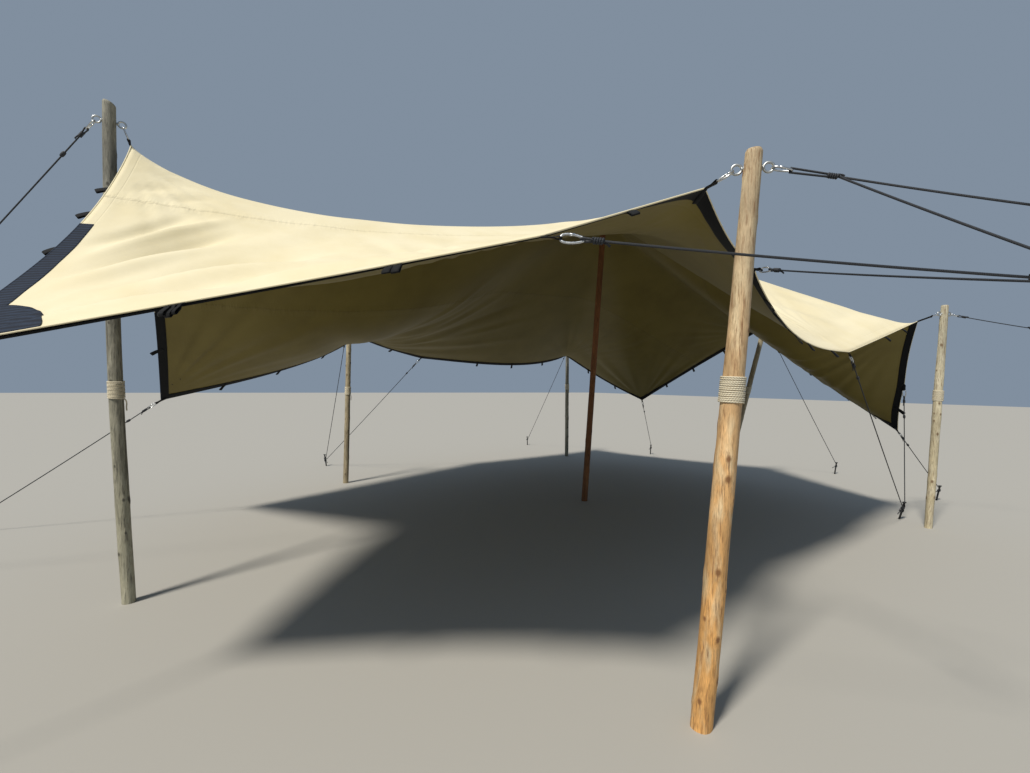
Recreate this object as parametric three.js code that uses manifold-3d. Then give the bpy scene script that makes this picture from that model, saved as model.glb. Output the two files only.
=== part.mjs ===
// A stretch tent: one stretched canopy over six leaning log poles and a centre mast, held by ropes and stakes.
// Millimetres, +Z up. The origin is the middle of the centre mast's foot, on the ground.
// +X runs along the canopy's long side and +Y across it, from the front edge to the back edge.

import * as THREE from "three";
import { mergeVertices } from "three/addons/utils/BufferGeometryUtils.js";
import Module from "manifold-3d";

const wasm = await Module();
wasm.setup();

// Fits: the play between pieces that touch.
const PLAY = 0.3;
const SEAT_PLAY = 0.9;

// Canopy cloth, its webbing and its corner patches.
const CLOTH = 6;
const WEBBING = 2.5;
const WEBBING_INSET = 30;
const WEBBING_WIDTH = 65;
const PATCH = 2;
const CUT = [9900, 5300];

// How the cloth hangs: from the peak it runs to its edge in nearly straight lines, which drop a little more
// the longer they are, and the back of the long left wing drops most. Then the net is evened out: fully up
// to the first of two net lines, and hardly at all past the second, where the cloth is tautest.
const SPOKE_DROP = 40;
const SPOKE_LENGTH = 3770;
const WING_DROP = 300;
const WING_CELLS = [10, 7];
const EVENING_LINES = [10, 24];
const TAUT_SHARE = 0.03;
const LENGTHWISE_PULL = 4;
const EVENING_ROUNDS = 40;

// The net: cells along the canopy (u) and across it (v), and the lines that the panels keep.
const NET_U = 48;
const NET_V = 28;
const TYPICAL_CELL = 190;
const KEPT_U = [2, 4, 6, 8, 10, 12, 14, 17, 19, 21, 22, 24, 26, 27, 28, 29, 30, 32, 34, 36, 38, 41, 43, 45];
const KEPT_V = [3, 5, 8, 9, 12, 13, 14, 15, 17, 19, 20, 23, 25];
const SEAM_V = [9, 20];

// Centre mast and its cap.
const MAST = { head: [170, -120], footRadius: 42, headRadius: 37 };
const PEAK_HEIGHT = 3820;
const PEAK_NET = [28, 14];
const PEAK_FLAT = 60;
const CAP_RADIUS = 56;
const CAP_HEIGHT = 42;
const CAP_EDGE = 12;

// Where the canopy's edge is held, in order round it: net position, place, and how the next span
// of edge runs: bowed inward, dropped, and with its lowest point shifted towards the first support.
const SUPPORTS = [
  { name: "front_left_corner", net: [0, 0], at: [-5370, -1850, 1680], bow: 100, drop: -20, shift: 1 },
  { name: "front_tie_1", net: [12, 0], at: [-3510, -3360, 2105], bow: 0, drop: 0, shift: 1 },
  { name: "front_pole", net: [17, 0], at: [-2570, -3390, 2500], bow: 30, drop: 30, shift: 1 },
  { name: "front_tie_2", net: [22, 0], at: [-1640, -3140, 2310], bow: 30, drop: 180, shift: 0.8 },
  { name: "front_tie_3", net: [30, 0], at: [120, -3050, 1885], bow: 50, drop: 30, shift: 1 },
  { name: "right_pole", net: [41, 0], at: [2230, -2980, 2340], bow: 20, drop: 0, shift: 1 },
  { name: "side_tie", net: [45, 0], at: [2490, -2800, 1620], bow: 20, drop: 0, shift: 1 },
  { name: "front_right_corner", net: [48, 0], at: [2800, -2660, 1050], bow: 60, drop: 0, shift: 1 },
  { name: "end_pole", net: [48, 14], at: [3330, -560, 2470], bow: 60, drop: 0, shift: 1 },
  { name: "back_right_corner", net: [48, 28], at: [3270, 1710, 1270], bow: 50, drop: 50, shift: 1 },
  { name: "back_right_pole", net: [38, 28], at: [2390, 3090, 2200], bow: 50, drop: 180, shift: 0.7 },
  { name: "back_tie", net: [21, 28], at: [-1040, 2980, 1990], bow: 30, drop: 20, shift: 1 },
  { name: "back_left_pole", net: [14, 28], at: [-2250, 2620, 2220], bow: 50, drop: 130, shift: 0.7 },
  { name: "back_left_corner", net: [0, 28], at: [-4640, 1760, 1345], bow: 30, drop: 0, shift: 1 },
  { name: "left_pole", net: [0, 12], at: [-4810, -340, 3220], bow: 30, drop: 130, shift: 0.8 },
];

// The six edge poles: foot and head on plan, length, sideways bow at mid-height, radii at foot and head,
// bolt height, and the lashing's lower end.
const POLES = [
  {
    name: "front_pole",
    foot: [-2578, -3422], head: [-2433, -3548], height: 2660,
    bow: [0, 0], radii: [50, 37], bolt: 2575, lashing: 1500,
  },
  {
    name: "left_pole",
    foot: [-4797, -386], head: [-4929, -337], height: 3490,
    bow: [-27, 19], radii: [40, 38], bolt: 3345, lashing: 1430,
  },
  {
    name: "right_pole",
    foot: [2425, -3062], head: [2538, -3142], height: 2530,
    bow: [0, 0], radii: [38, 35], bolt: 2430, lashing: 1440,
  },
  {
    name: "back_left_pole",
    foot: [-2337, 2835], head: [-2292, 2902], height: 2500,
    bow: [0, 0], radii: [40, 36], bolt: 2400, lashing: 1360,
  },
  {
    name: "back_right_pole",
    foot: [2505, 3124], head: [2505, 3150], height: 2500,
    bow: [0, 0], radii: [40, 36], bolt: 2400, lashing: 1450,
  },
  {
    name: "end_pole",
    foot: [2953, -291], head: [3500, -640], height: 2620,
    bow: [0, 0], radii: [42, 38], bolt: 2550, lashing: 1450,
  },
];
const POLE_SIDES = 14;
const LASHING_HEIGHT = 130;
const LASHING_BUILD = 13;
const LOG_STEPS = 4;

// Through bolts with a ring at each end, and the shackles, snaps and knots that hang on them.
const BOLT_RADIUS = 5.4;
const RING_RADIUS = 22;
const RING_WIRE = 6;
const RING_STAND = 8;
const SNAP_WIRE = 4;
const SNAP_WIDTH = 30;
const SNAP_LENGTH = 72;
const TONGUE = [25, 4];
const TONGUE_LENGTH = 60;
const ROPE_RADIUS = 6;
const KNOT_RADIUS = 11;
const KNOT_LENGTH = 45;

// Ground stakes: their places, and the heights of the rope turns on them.
const STAKE_RADIUS = 11;
const STAKE_HEIGHT = 210;
const STAKE_HEAD = [21, 12];
const STAKE_LEAN = 0.25;
const TURN_HEIGHTS = [150, 110];
const STAKES = [
  { name: "ground_stake_1", at: [-6950, -2400] },
  { name: "ground_stake_2", at: [2590, -2750] },
  { name: "ground_stake_3", at: [4250, -2720] },
  { name: "ground_stake_4", at: [5300, -1050] },
  { name: "ground_stake_5", at: [4350, 2330] },
  { name: "ground_stake_6", at: [2900, 5050] },
  { name: "ground_stake_7", at: [-2190, 4520] },
  { name: "ground_stake_8", at: [-6110, 2350] },
  { name: "ground_stake_9", at: [-7345, 1390] },
];

// The snaps that end the ropes which go to something high beside the tent, and where the front guy parts.
const FRONT_TIE_1_SNAP = [-2373, -4485, 1920];
const FRONT_TIE_2_SNAP = [-2185, -4463, 1941];
const GUY_LOW_SNAP = [-2244, -4499, 1984];
const GUY_HIGH_SNAP = [-1960, -4450, 2237];
const RIGHT_GUY_SNAP = [3080, -3800, 2243];
const GUY_SPLIT = [-2230, -3818, 2500];

// Which rope goes where: to a stake by its name and turn, or to a snap by its place.
const EDGE_TIES = [
  { name: "front_left_corner", to: { stake: "ground_stake_1", turn: 0 } },
  { name: "front_tie_1", to: { snap: FRONT_TIE_1_SNAP } },
  { name: "front_tie_2", to: { snap: FRONT_TIE_2_SNAP } },
  { name: "front_tie_3", to: { stake: "ground_stake_2", turn: 1 } },
  { name: "side_tie", to: { stake: "ground_stake_2", turn: 0 } },
  { name: "front_right_corner", to: { stake: "ground_stake_3", turn: 0 } },
  { name: "back_right_corner", to: { stake: "ground_stake_5", turn: 0 } },
  { name: "back_tie", to: { stake: "ground_stake_7", turn: 1 } },
  { name: "back_left_corner", to: { stake: "ground_stake_8", turn: 0 } },
];
const POLE_GUYS = {
  front_pole: [{ snap: GUY_LOW_SNAP, via: GUY_SPLIT }, { snap: GUY_HIGH_SNAP, via: GUY_SPLIT }],
  left_pole: [{ stake: "ground_stake_9", turn: 0 }],
  right_pole: [{ snap: RIGHT_GUY_SNAP }],
  back_left_pole: [{ stake: "ground_stake_7", turn: 0 }],
  back_right_pole: [{ stake: "ground_stake_6", turn: 0 }],
  end_pole: [{ stake: "ground_stake_4", turn: 0 }],
};

const FINISHES = {
  cloth: { color: 0xe6d9ae, roughness: 0.85, metalness: 0 },
  webbing: { color: 0x1b1f26, roughness: 0.9, metalness: 0 },
  pole: { color: 0x9a7b4f, roughness: 0.8, metalness: 0 },
  mast: { color: 0x6b4630, roughness: 0.8, metalness: 0 },
  steel: { color: 0xb5b8ba, roughness: 0.35, metalness: 1 },
  rope: { color: 0x24262a, roughness: 0.9, metalness: 0 },
  sisal: { color: 0xcfc294, roughness: 0.95, metalness: 0 },
  stake: { color: 0x1a1b1d, roughness: 0.6, metalness: 0.4 },
};
const materials = Object.fromEntries(
  Object.entries(FINISHES).map(([name, look]) => [name, new THREE.MeshStandardMaterial(look)]),
);

const vec = (p) => new THREE.Vector3(...p);
const UP = new THREE.Vector3(0, 0, 1);

// A closed mesh as a solid, and back.
function solidFrom(geometry) {
  const plain = new THREE.BufferGeometry();
  plain.setAttribute("position", geometry.getAttribute("position"));
  plain.setIndex(geometry.index);
  const merged = mergeVertices(plain, 1e-3);
  return new wasm.Manifold(
    new wasm.Mesh({
      numProp: 3,
      vertProperties: Float32Array.from(merged.attributes.position.array),
      triVerts: Uint32Array.from(merged.index.array),
    }),
  );
}

function geometryFrom(solid) {
  const mesh = solid.getMesh();
  const geometry = new THREE.BufferGeometry();
  geometry.setAttribute("position", new THREE.BufferAttribute(mesh.vertProperties, 3));
  geometry.setIndex(new THREE.BufferAttribute(mesh.triVerts, 1));
  geometry.computeVertexNormals();
  return geometry;
}

const joined = (solids) => solids.reduce((whole, piece) => whole.add(piece));

function named(name, geometry, material, group) {
  const mesh = new THREE.Mesh(geometry, material);
  mesh.name = name;
  group.add(mesh);
}

// The canopy's edge: between two supports a line that bows inward and drops, lowest near the first one.
function edgePoints() {
  const points = new Map();
  SUPPORTS.forEach((support, k) => {
    const next = SUPPORTS[(k + 1) % SUPPORTS.length];
    const from = vec(support.at);
    const to = vec(next.at);
    const inward = from.clone().add(to).setZ(0).normalize().multiplyScalar(-support.bow);
    const sag = inward.setZ(-support.drop);
    const [du, dv] = [next.net[0] - support.net[0], next.net[1] - support.net[1]];
    const steps = Math.max(Math.abs(du), Math.abs(dv));
    for (let s = 0; s < steps; s++) {
      const t = s / steps;
      const point = from.clone().lerp(to, t).addScaledVector(sag, Math.sin(Math.PI * t ** support.shift));
      points.set(`${support.net[0] + du * t},${support.net[1] + dv * t}`, point);
    }
  });
  return points;
}

// A place on the net seen from the peak: its share of the way to the edge, where that way ends, and its length
// on the flat cloth.
function spokeThrough(i, j, edge) {
  const place = [i, j];
  const last = [NET_U, NET_V];
  const off = place.map((line, k) => line - PEAK_NET[k]);
  const reaches = off.map((step, k) => {
    if (step === 0) return Infinity;
    return (step > 0 ? last[k] - PEAK_NET[k] : -PEAK_NET[k]) / step;
  });
  const reach = Math.min(...reaches);
  const onSide = reaches[0] <= reaches[1];
  const [endU, endV] = off.map((step, k) => PEAK_NET[k] + step * reach);
  const running = onSide ? endV : endU;
  const ends = [Math.floor(running), Math.ceil(running)].map((line) => {
    return edge.get(onSide ? `${Math.round(endU)},${line}` : `${line},${Math.round(endV)}`);
  });
  const end = ends[0].clone().lerp(ends[1], running - Math.floor(running));
  const length = reach * Math.hypot(...off.map((step, k) => (step * CUT[k]) / last[k]));
  return { share: 1 / reach, end, length };
}

// The stretched net: spokes from the peak to the edge, hung, and then evened out.
function stretchedNet() {
  const { clamp } = THREE.MathUtils;
  const edge = edgePoints();
  const peak = new THREE.Vector3(...MAST.head, PEAK_HEIGHT);
  const free = [];
  const net = Array.from({ length: NET_U + 1 }, (_, i) =>
    Array.from({ length: NET_V + 1 }, (__, j) => {
      const fixed = edge.get(`${i},${j}`);
      if (fixed) return fixed;
      const [a, b] = [i - PEAK_NET[0], j - PEAK_NET[1]];
      if (Math.abs(a) <= 1 && Math.abs(b) <= 1) return peak.clone().add(vec([a * PEAK_FLAT, b * PEAK_FLAT, 0]));
      const { share, end, length } = spokeThrough(i, j, edge);
      const wing = clamp(-a / WING_CELLS[0], 0, 1) * clamp(b / WING_CELLS[1], 0, 1);
      const drop = WING_DROP * wing + SPOKE_DROP * (length / SPOKE_LENGTH) ** 2;
      const slack = clamp((EVENING_LINES[1] - i) / (EVENING_LINES[1] - EVENING_LINES[0]), TAUT_SHARE, 1);
      free.push({ i, j, slack });
      return peak.clone().lerp(end, share).addScaledVector(UP, -4 * share * (1 - share) * drop);
    }),
  );
  const weight = 2 * LENGTHWISE_PULL + 2;
  for (let round = 0; round < EVENING_ROUNDS; round++) {
    const means = free.map(({ i, j }) => {
      const along = net[i - 1][j].clone().add(net[i + 1][j]).multiplyScalar(LENGTHWISE_PULL);
      return along.add(net[i][j - 1]).add(net[i][j + 1]).divideScalar(weight);
    });
    free.forEach(({ i, j, slack }, k) => net[i][j].lerp(means[k], slack));
  }
  return net;
}

// Points and surface directions at the kept lines; the webbing's two edges are lines of their own.
function keptSamples(net) {
  const normalAt = (i, j) => {
    const along = net[Math.min(i + 1, NET_U)][j].clone().sub(net[Math.max(i - 1, 0)][j]);
    const across = net[i][Math.min(j + 1, NET_V)].clone().sub(net[i][Math.max(j - 1, 0)]);
    return along.cross(across).normalize();
  };
  const blend = (u, v, value) => {
    const i = Math.min(Math.floor(u), NET_U - 1);
    const j = Math.min(Math.floor(v), NET_V - 1);
    const near = value(i, j).clone().lerp(value(i + 1, j), u - i);
    return near.lerp(value(i, j + 1).clone().lerp(value(i + 1, j + 1), u - i), v - j);
  };
  const insets = [WEBBING_INSET, WEBBING_INSET + WEBBING_WIDTH];
  const lines = (kept, last) => [
    () => 0,
    ...insets.map((inset) => (firstCell) => inset / firstCell),
    ...kept.map((line) => () => line),
    ...insets.toReversed().map((inset) => (firstCell, lastCell) => last - inset / lastCell),
    () => last,
  ];
  const linesU = lines(KEPT_U, NET_U);
  const linesV = lines(KEPT_V, NET_V);
  const cell = (i, j, k, l) => net[i][j].distanceTo(net[k][l]);
  return linesU.map((lineU) =>
    linesV.map((lineV) => {
      const i = Math.round(lineU(TYPICAL_CELL, TYPICAL_CELL));
      const v = lineV(cell(i, 0, i, 1), cell(i, NET_V - 1, i, NET_V));
      const j = Math.round(v);
      const u = lineU(cell(0, j, 1, j), cell(NET_U - 1, j, NET_U, j));
      return { point: blend(u, v, (a, b) => net[a][b]), normal: blend(u, v, normalAt).normalize() };
    }),
  );
}

// A closed skin over some of the net's cells, between two heights along the surface direction.
function skinOver(samples, covers, low, high, nudge = () => null) {
  const positions = [];
  const index = [];
  const numbers = new Map();
  const corner = (i, j, height) => {
    const key = `${i},${j},${height}`;
    if (!numbers.has(key)) {
      numbers.set(key, numbers.size);
      const { point, normal } = samples[i][j];
      const place = point.clone().addScaledVector(normal, height);
      const shift = nudge(i, j);
      if (shift) place.add(shift);
      positions.push(place.x, place.y, place.z);
    }
    return numbers.get(key);
  };
  for (let i = 0; i < samples.length - 1; i++) {
    for (let j = 0; j < samples[0].length - 1; j++) {
      if (!covers(i, j)) continue;
      const ring = [[i, j], [i + 1, j], [i + 1, j + 1], [i, j + 1]];
      const top = ring.map(([a, b]) => corner(a, b, high));
      const under = ring.map(([a, b]) => corner(a, b, low));
      index.push(top[0], top[1], top[2], top[0], top[2], top[3]);
      index.push(under[0], under[2], under[1], under[0], under[3], under[2]);
      const beside = [[i, j - 1], [i + 1, j], [i, j + 1], [i - 1, j]];
      beside.forEach(([a, b], k) => {
        const inRange = a >= 0 && b >= 0 && a < samples.length - 1 && b < samples[0].length - 1;
        if (inRange && covers(a, b)) return;
        const next = (k + 1) % ring.length;
        // The walls on both sides of a line are split the same way, so that two skins fit there.
        if (k < 2) index.push(under[k], under[next], top[next], under[k], top[next], top[k]);
        else index.push(under[k], under[next], top[k], under[next], top[next], top[k]);
      });
    }
  }
  const geometry = new THREE.BufferGeometry();
  geometry.setAttribute("position", new THREE.Float32BufferAttribute(positions, 3));
  geometry.setIndex(index);
  geometry.computeVertexNormals();
  return geometry;
}

// Three lengthwise panels, with a little play at the two seams.
function canopyPanels(samples) {
  const group = new THREE.Group();
  const firstKept = 3;
  const seams = SEAM_V.map((line) => firstKept + KEPT_V.indexOf(line));
  const bounds = [0, ...seams, samples[0].length - 1];
  ["canopy_front_panel", "canopy_middle_panel", "canopy_back_panel"].forEach((name, k) => {
    const [first, last] = [bounds[k], bounds[k + 1]];
    const towards = (i, j, to) => {
      const step = samples[i][to].point.clone().sub(samples[i][j].point);
      return step.setLength(PLAY);
    };
    const nudge = (i, j) => {
      if (j === first && first > 0) return towards(i, j, j + 1);
      if (j === last && last < samples[0].length - 1) return towards(i, j, j - 1);
      return null;
    };
    const skin = skinOver(samples, (i, j) => j >= first && j < last, -CLOTH / 2, CLOTH / 2, nudge);
    named(name, skin, materials.cloth, group);
  });
  return group;
}

// The webbing band sewn under the edge all round.
function edgeWebbing(samples) {
  const [lastU, lastV] = [samples.length - 3, samples[0].length - 3];
  const band = (i, j) => {
    const within = i >= 1 && i <= lastU && j >= 1 && j <= lastV;
    return within && (i === 1 || i === lastU || j === 1 || j === lastV);
  };
  const top = -CLOTH / 2 - PLAY;
  return skinOver(samples, band, top - WEBBING, top);
}

// A reinforcing patch on top of each corner: a narrow band up the short edge with a foot along the long one.
function cornerPatches(samples) {
  const group = new THREE.Group();
  const [cellsU, cellsV] = [samples.length - 1, samples[0].length - 1];
  const low = CLOTH / 2 + PLAY;
  const width = 2;
  const rise = 5;
  const foot = 3;
  const corners = [
    ["corner_patch_front_left", false, false],
    ["corner_patch_front_right", true, false],
    ["corner_patch_back_right", true, true],
    ["corner_patch_back_left", false, true],
  ];
  for (const [name, right, back] of corners) {
    const covers = (i, j) => {
      const a = right ? cellsU - 1 - i : i;
      const b = back ? cellsV - 1 - j : j;
      return (a < width && b < rise) || (a < foot && b < width);
    };
    named(name, skinOver(samples, covers, low, low + PATCH), materials.webbing, group);
  }
  return group;
}

// A round piece of level rings, each moved sideways to where the axis is at its height.
function roundAlong(profile, axis) {
  const points = profile.map(([radius, height]) => new THREE.Vector2(radius, height));
  const geometry = new THREE.LatheGeometry(points, POLE_SIDES);
  geometry.rotateX(Math.PI / 2);
  const position = geometry.getAttribute("position");
  for (let k = 0; k < position.count; k++) {
    const centre = axis(position.getZ(k));
    position.setXY(k, position.getX(k) + centre.x, position.getY(k) + centre.y);
  }
  return geometry;
}

// A straight axis that starts at a foot on the ground and runs sideways by the lean for each unit of rise.
const straightAxis = (foot, lean) => (height) => {
  return new THREE.Vector3(foot[0] + lean[0] * height, foot[1] + lean[1] * height, height);
};

const leanOf = (pole) => [0, 1].map((k) => (pole.head[k] - pole.foot[k]) / pole.height);
const radiusAt = (pole, height) => THREE.MathUtils.lerp(pole.radii[0], pole.radii[1], height / pole.height);
const axisAt = (pole, height) => {
  const bend = Math.sin((Math.PI * height) / pole.height);
  const side = new THREE.Vector3(pole.bow[0] * bend, pole.bow[1] * bend, 0);
  return straightAxis(pole.foot, leanOf(pole))(height).add(side);
};

// The log's outline: rings between its foot, the two ends of its lashing and its head.
function logProfile(pole) {
  const stops = [0, pole.lashing, pole.lashing + LASHING_HEIGHT, pole.height];
  const profile = [[0, 0]];
  for (let k = 0; k < stops.length - 1; k++) {
    for (let step = 0; step < LOG_STEPS; step++) {
      const height = THREE.MathUtils.lerp(stops[k], stops[k + 1], step / LOG_STEPS);
      profile.push([radiusAt(pole, height), height]);
    }
  }
  return [...profile, [pole.radii[1], pole.height], [0, pole.height]];
}

// A straight rod between two points.
function rod(from, to, radius, sides = 8) {
  const path = new THREE.LineCurve3(from, to);
  const shape = new THREE.Shape();
  for (let k = 0; k <= sides; k++) {
    const angle = (2 * Math.PI * k) / sides;
    const [x, y] = [radius * Math.cos(angle), radius * Math.sin(angle)];
    if (k === 0) shape.moveTo(x, y);
    else shape.lineTo(x, y);
  }
  return solidFrom(new THREE.ExtrudeGeometry(shape, { steps: 1, extrudePath: path }));
}

// A ring of round wire, drawn out along its first axis to the given length, with its middle at a point.
function wireRing(middle, along, across, width, length, wire) {
  const ringSides = 10;
  const wireSides = 4;
  const geometry = new THREE.TorusGeometry(width / 2, wire, wireSides, ringSides);
  const stretch = (length - width) / 2;
  const position = geometry.getAttribute("position");
  for (let k = 0; k < position.count; k++) {
    const x = position.getX(k);
    const side = Math.abs(x) < wire / 100 ? 0 : Math.sign(x);
    position.setX(k, x + side * stretch);
  }
  const normal = along.clone().cross(across).normalize();
  const turned = new THREE.Matrix4().makeBasis(along, normal.clone().cross(along), normal);
  geometry.applyMatrix4(turned.setPosition(middle));
  return solidFrom(geometry);
}

// A through bolt: its direction is level, from the pole towards the canopy's tip.
function boltOf(pole) {
  const tip = vec(SUPPORTS.find((support) => support.name === pole.name).at);
  const centre = axisAt(pole, pole.bolt);
  const inward = tip.clone().sub(centre).setZ(0).normalize();
  const reach = radiusAt(pole, pole.bolt) + RING_STAND + RING_RADIUS;
  const rings = [1, -1].map((side) => centre.clone().addScaledVector(inward, side * reach));
  return { centre, inward, tip, rings };
}

// What hangs on a ring: a snap round the ring's wire, drawn towards a point. Returns the snap and its far end.
function snapOnRing(ring, ringNormal, towards) {
  const heading = towards.clone().sub(ring).normalize();
  const inPlane = heading.clone().projectOnPlane(ringNormal).normalize();
  const wireCentre = ring.clone().addScaledVector(inPlane, RING_RADIUS);
  const start = wireCentre.clone().addScaledVector(heading, -(RING_WIRE + SEAT_PLAY + SNAP_WIRE));
  const alongWire = ringNormal.clone().cross(inPlane).normalize();
  const across = alongWire.clone().cross(heading).normalize();
  const middle = start.clone().addScaledVector(heading, SNAP_LENGTH / 2);
  return {
    solid: wireRing(middle, heading, across, SNAP_WIDTH, SNAP_LENGTH, SNAP_WIRE),
    end: start.addScaledVector(heading, SNAP_LENGTH),
    heading,
  };
}

// The room that the canopy and what is sewn on it take up, a little larger all round.
function clothRoom(samples) {
  const [lastU, lastV] = [samples.length - 1, samples[0].length - 1];
  const outward = (i, j) => {
    const [a, b] = [Math.min(Math.max(i, 1), lastU - 1), Math.min(Math.max(j, 1), lastV - 1)];
    return a === i && b === j ? null : samples[i][j].point.clone().sub(samples[a][b].point).setLength(PLAY);
  };
  const half = CLOTH / 2 + 2 * PLAY + Math.max(WEBBING, PATCH);
  return solidFrom(skinOver(samples, () => true, -half, half, outward));
}

// A flat webbing tongue from the canopy's edge outward, ending against the edge.
function tongueFrom(edge, heading, length) {
  const shape = new THREE.Shape();
  const [width, thickness] = TONGUE;
  shape.moveTo(-thickness / 2, -width / 2);
  shape.lineTo(thickness / 2, -width / 2);
  shape.lineTo(thickness / 2, width / 2);
  shape.lineTo(-thickness / 2, width / 2);
  shape.closePath();
  const path = new THREE.LineCurve3(edge.clone(), edge.clone().addScaledVector(heading, length));
  const bar = solidFrom(new THREE.ExtrudeGeometry(shape, { steps: 1, bevelEnabled: false, extrudePath: path }));
  const pieces = bar.subtract(roomOfCloth).decompose();
  return pieces.reduce((largest, piece) => (piece.volume() > largest.volume() ? piece : largest));
}

// The point where a rope meets its stake, and the turn of rope round the stake there.
function turnOnStake(to) {
  const stake = STAKES.find((one) => one.name === to.stake);
  const away = new THREE.Vector3(stake.at[0], stake.at[1], 0).normalize().multiplyScalar(STAKE_LEAN);
  const height = TURN_HEIGHTS[to.turn];
  const middle = new THREE.Vector3(stake.at[0] + away.x * height, stake.at[1] + away.y * height, height);
  const radius = STAKE_RADIUS + SEAT_PLAY + ROPE_RADIUS;
  return { middle, radius };
}

// A rope from a point to where it ends, with what it ends in.
function ropeTo(from, to) {
  if (to.stake) {
    const { middle, radius } = turnOnStake(to);
    const level = from.clone().sub(middle).setZ(0).normalize();
    const across = UP.clone().cross(level);
    const turn = wireRing(middle, level, across, 2 * radius, 2 * radius, ROPE_RADIUS);
    return [rod(from, middle.clone().addScaledVector(level, radius), ROPE_RADIUS), turn];
  }
  const end = vec(to.snap);
  const heading = end.clone().sub(from).normalize();
  const across = UP.clone().cross(heading).normalize();
  const middle = end.clone().addScaledVector(heading, SNAP_LENGTH / 2 - SNAP_WIRE);
  return [rod(from, end, ROPE_RADIUS), wireRing(middle, heading, across, SNAP_WIDTH, SNAP_LENGTH, SNAP_WIRE)];
}

const knotAt = (start, heading) => rod(start, start.clone().addScaledVector(heading, KNOT_LENGTH), KNOT_RADIUS);

const targetOf = (to) => {
  if (to.via) return vec(to.via);
  return to.stake ? turnOnStake(to).middle : vec(to.snap);
};

// An edge pole with its bore, its through bolt, its lashing, the link to the canopy and the guy.
function edgePole(pole) {
  const group = new THREE.Group();
  const axis = (height) => axisAt(pole, height);
  const bolt = boltOf(pole);
  const log = roundAlong(logProfile(pole), axis);
  const half = bolt.inward.clone().multiplyScalar(RING_RADIUS + pole.radii[0]);
  const bore = rod(bolt.centre.clone().sub(half), bolt.centre.clone().add(half), BOLT_RADIUS + SEAT_PLAY);
  named(pole.name, geometryFrom(solidFrom(log).subtract(bore)), materials.pole, group);

  const ringNormal = bolt.inward.clone().cross(UP).normalize();
  const inset = RING_RADIUS - RING_WIRE / 2;
  const shankEnds = [1, -1].map((side, k) => bolt.rings[k].clone().addScaledVector(bolt.inward, -side * inset));
  const rings = bolt.rings.map((ring) => wireRing(ring, bolt.inward, UP, 2 * RING_RADIUS, 2 * RING_RADIUS, RING_WIRE));
  const eyebolt = joined([rod(shankEnds[0], shankEnds[1], BOLT_RADIUS), ...rings]);
  named(`${pole.name}_eyebolt`, geometryFrom(eyebolt), materials.steel, group);

  const [low, high] = [pole.lashing, pole.lashing + LASHING_HEIGHT];
  const inner = [radiusAt(pole, low) + PLAY, radiusAt(pole, high) + PLAY];
  const sleeve = [
    [inner[0], low],
    [inner[0] + LASHING_BUILD, low],
    [inner[1] + LASHING_BUILD, high],
    [inner[1], high],
    [inner[0], low],
  ];
  named(`${pole.name}_lashing`, roundAlong(sleeve, axis), materials.sisal, group);

  const snap = snapOnRing(bolt.rings[0], ringNormal, bolt.tip);
  const spare = bolt.tip.distanceTo(snap.end) + SNAP_WIRE;
  const link = joined([snap.solid, tongueFrom(bolt.tip, snap.heading.clone().negate(), spare)]);
  named(`${pole.name}_link`, geometryFrom(link), materials.steel, group);

  const routes = POLE_GUYS[pole.name];
  const hook = snapOnRing(bolt.rings[1], ringNormal, targetOf(routes[0]));
  const pieces = [hook.solid, knotAt(hook.end, hook.heading)];
  for (const route of routes) {
    const from = route.via ? vec(route.via) : hook.end;
    if (route.via) pieces.push(rod(hook.end, from.clone().addScaledVector(hook.heading, ROPE_RADIUS), ROPE_RADIUS));
    pieces.push(...ropeTo(from, route));
  }
  named(`${pole.name}_guy`, geometryFrom(joined(pieces)), materials.rope, group);
  return group;
}

// A tie from the canopy's edge: tongue, snap, knot and rope.
function edgeTie(tie) {
  const edge = vec(SUPPORTS.find((support) => support.name === tie.name).at);
  const heading = targetOf(tie.to).sub(edge).normalize();
  const across = UP.clone().cross(heading).normalize();
  const middle = edge.clone().addScaledVector(heading, TONGUE_LENGTH + SNAP_LENGTH / 2 - SNAP_WIRE);
  const snap = wireRing(middle, heading, across, SNAP_WIDTH, SNAP_LENGTH, SNAP_WIRE);
  const end = middle.clone().addScaledVector(heading, SNAP_LENGTH / 2);
  const pieces = [tongueFrom(edge, heading, TONGUE_LENGTH), snap, knotAt(end, heading), ...ropeTo(end, tie.to)];
  return geometryFrom(joined(pieces));
}

function groundStake(stake) {
  const away = new THREE.Vector3(stake.at[0], stake.at[1], 0).normalize().multiplyScalar(STAKE_LEAN);
  const [headRadius, headHeight] = STAKE_HEAD;
  const profile = [
    [0, 0],
    [STAKE_RADIUS, 0],
    [STAKE_RADIUS, STAKE_HEIGHT - headHeight],
    [headRadius, STAKE_HEIGHT - headHeight],
    [headRadius, STAKE_HEIGHT],
    [0, STAKE_HEIGHT],
  ];
  return roundAlong(profile, straightAxis(stake.at, [away.x, away.y]));
}

// The centre mast and the cap that spreads the canopy's load on its head.
function centreMast() {
  const group = new THREE.Group();
  const capTop = PEAK_HEIGHT - CLOTH / 2 - PLAY;
  const height = capTop - CAP_HEIGHT - PLAY;
  const axis = straightAxis([0, 0], [MAST.head[0] / PEAK_HEIGHT, MAST.head[1] / PEAK_HEIGHT]);
  const log = [[0, 0], [MAST.footRadius, 0], [MAST.headRadius, height], [0, height]];
  const cap = [
    [0, height + PLAY],
    [CAP_RADIUS, height + PLAY],
    [CAP_RADIUS, capTop - CAP_EDGE],
    [CAP_RADIUS - CAP_EDGE, capTop],
    [0, capTop],
  ];
  named("centre_mast", roundAlong(log, axis), materials.mast, group);
  named("mast_cap", roundAlong(cap, axis), materials.stake, group);
  return group;
}

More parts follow.
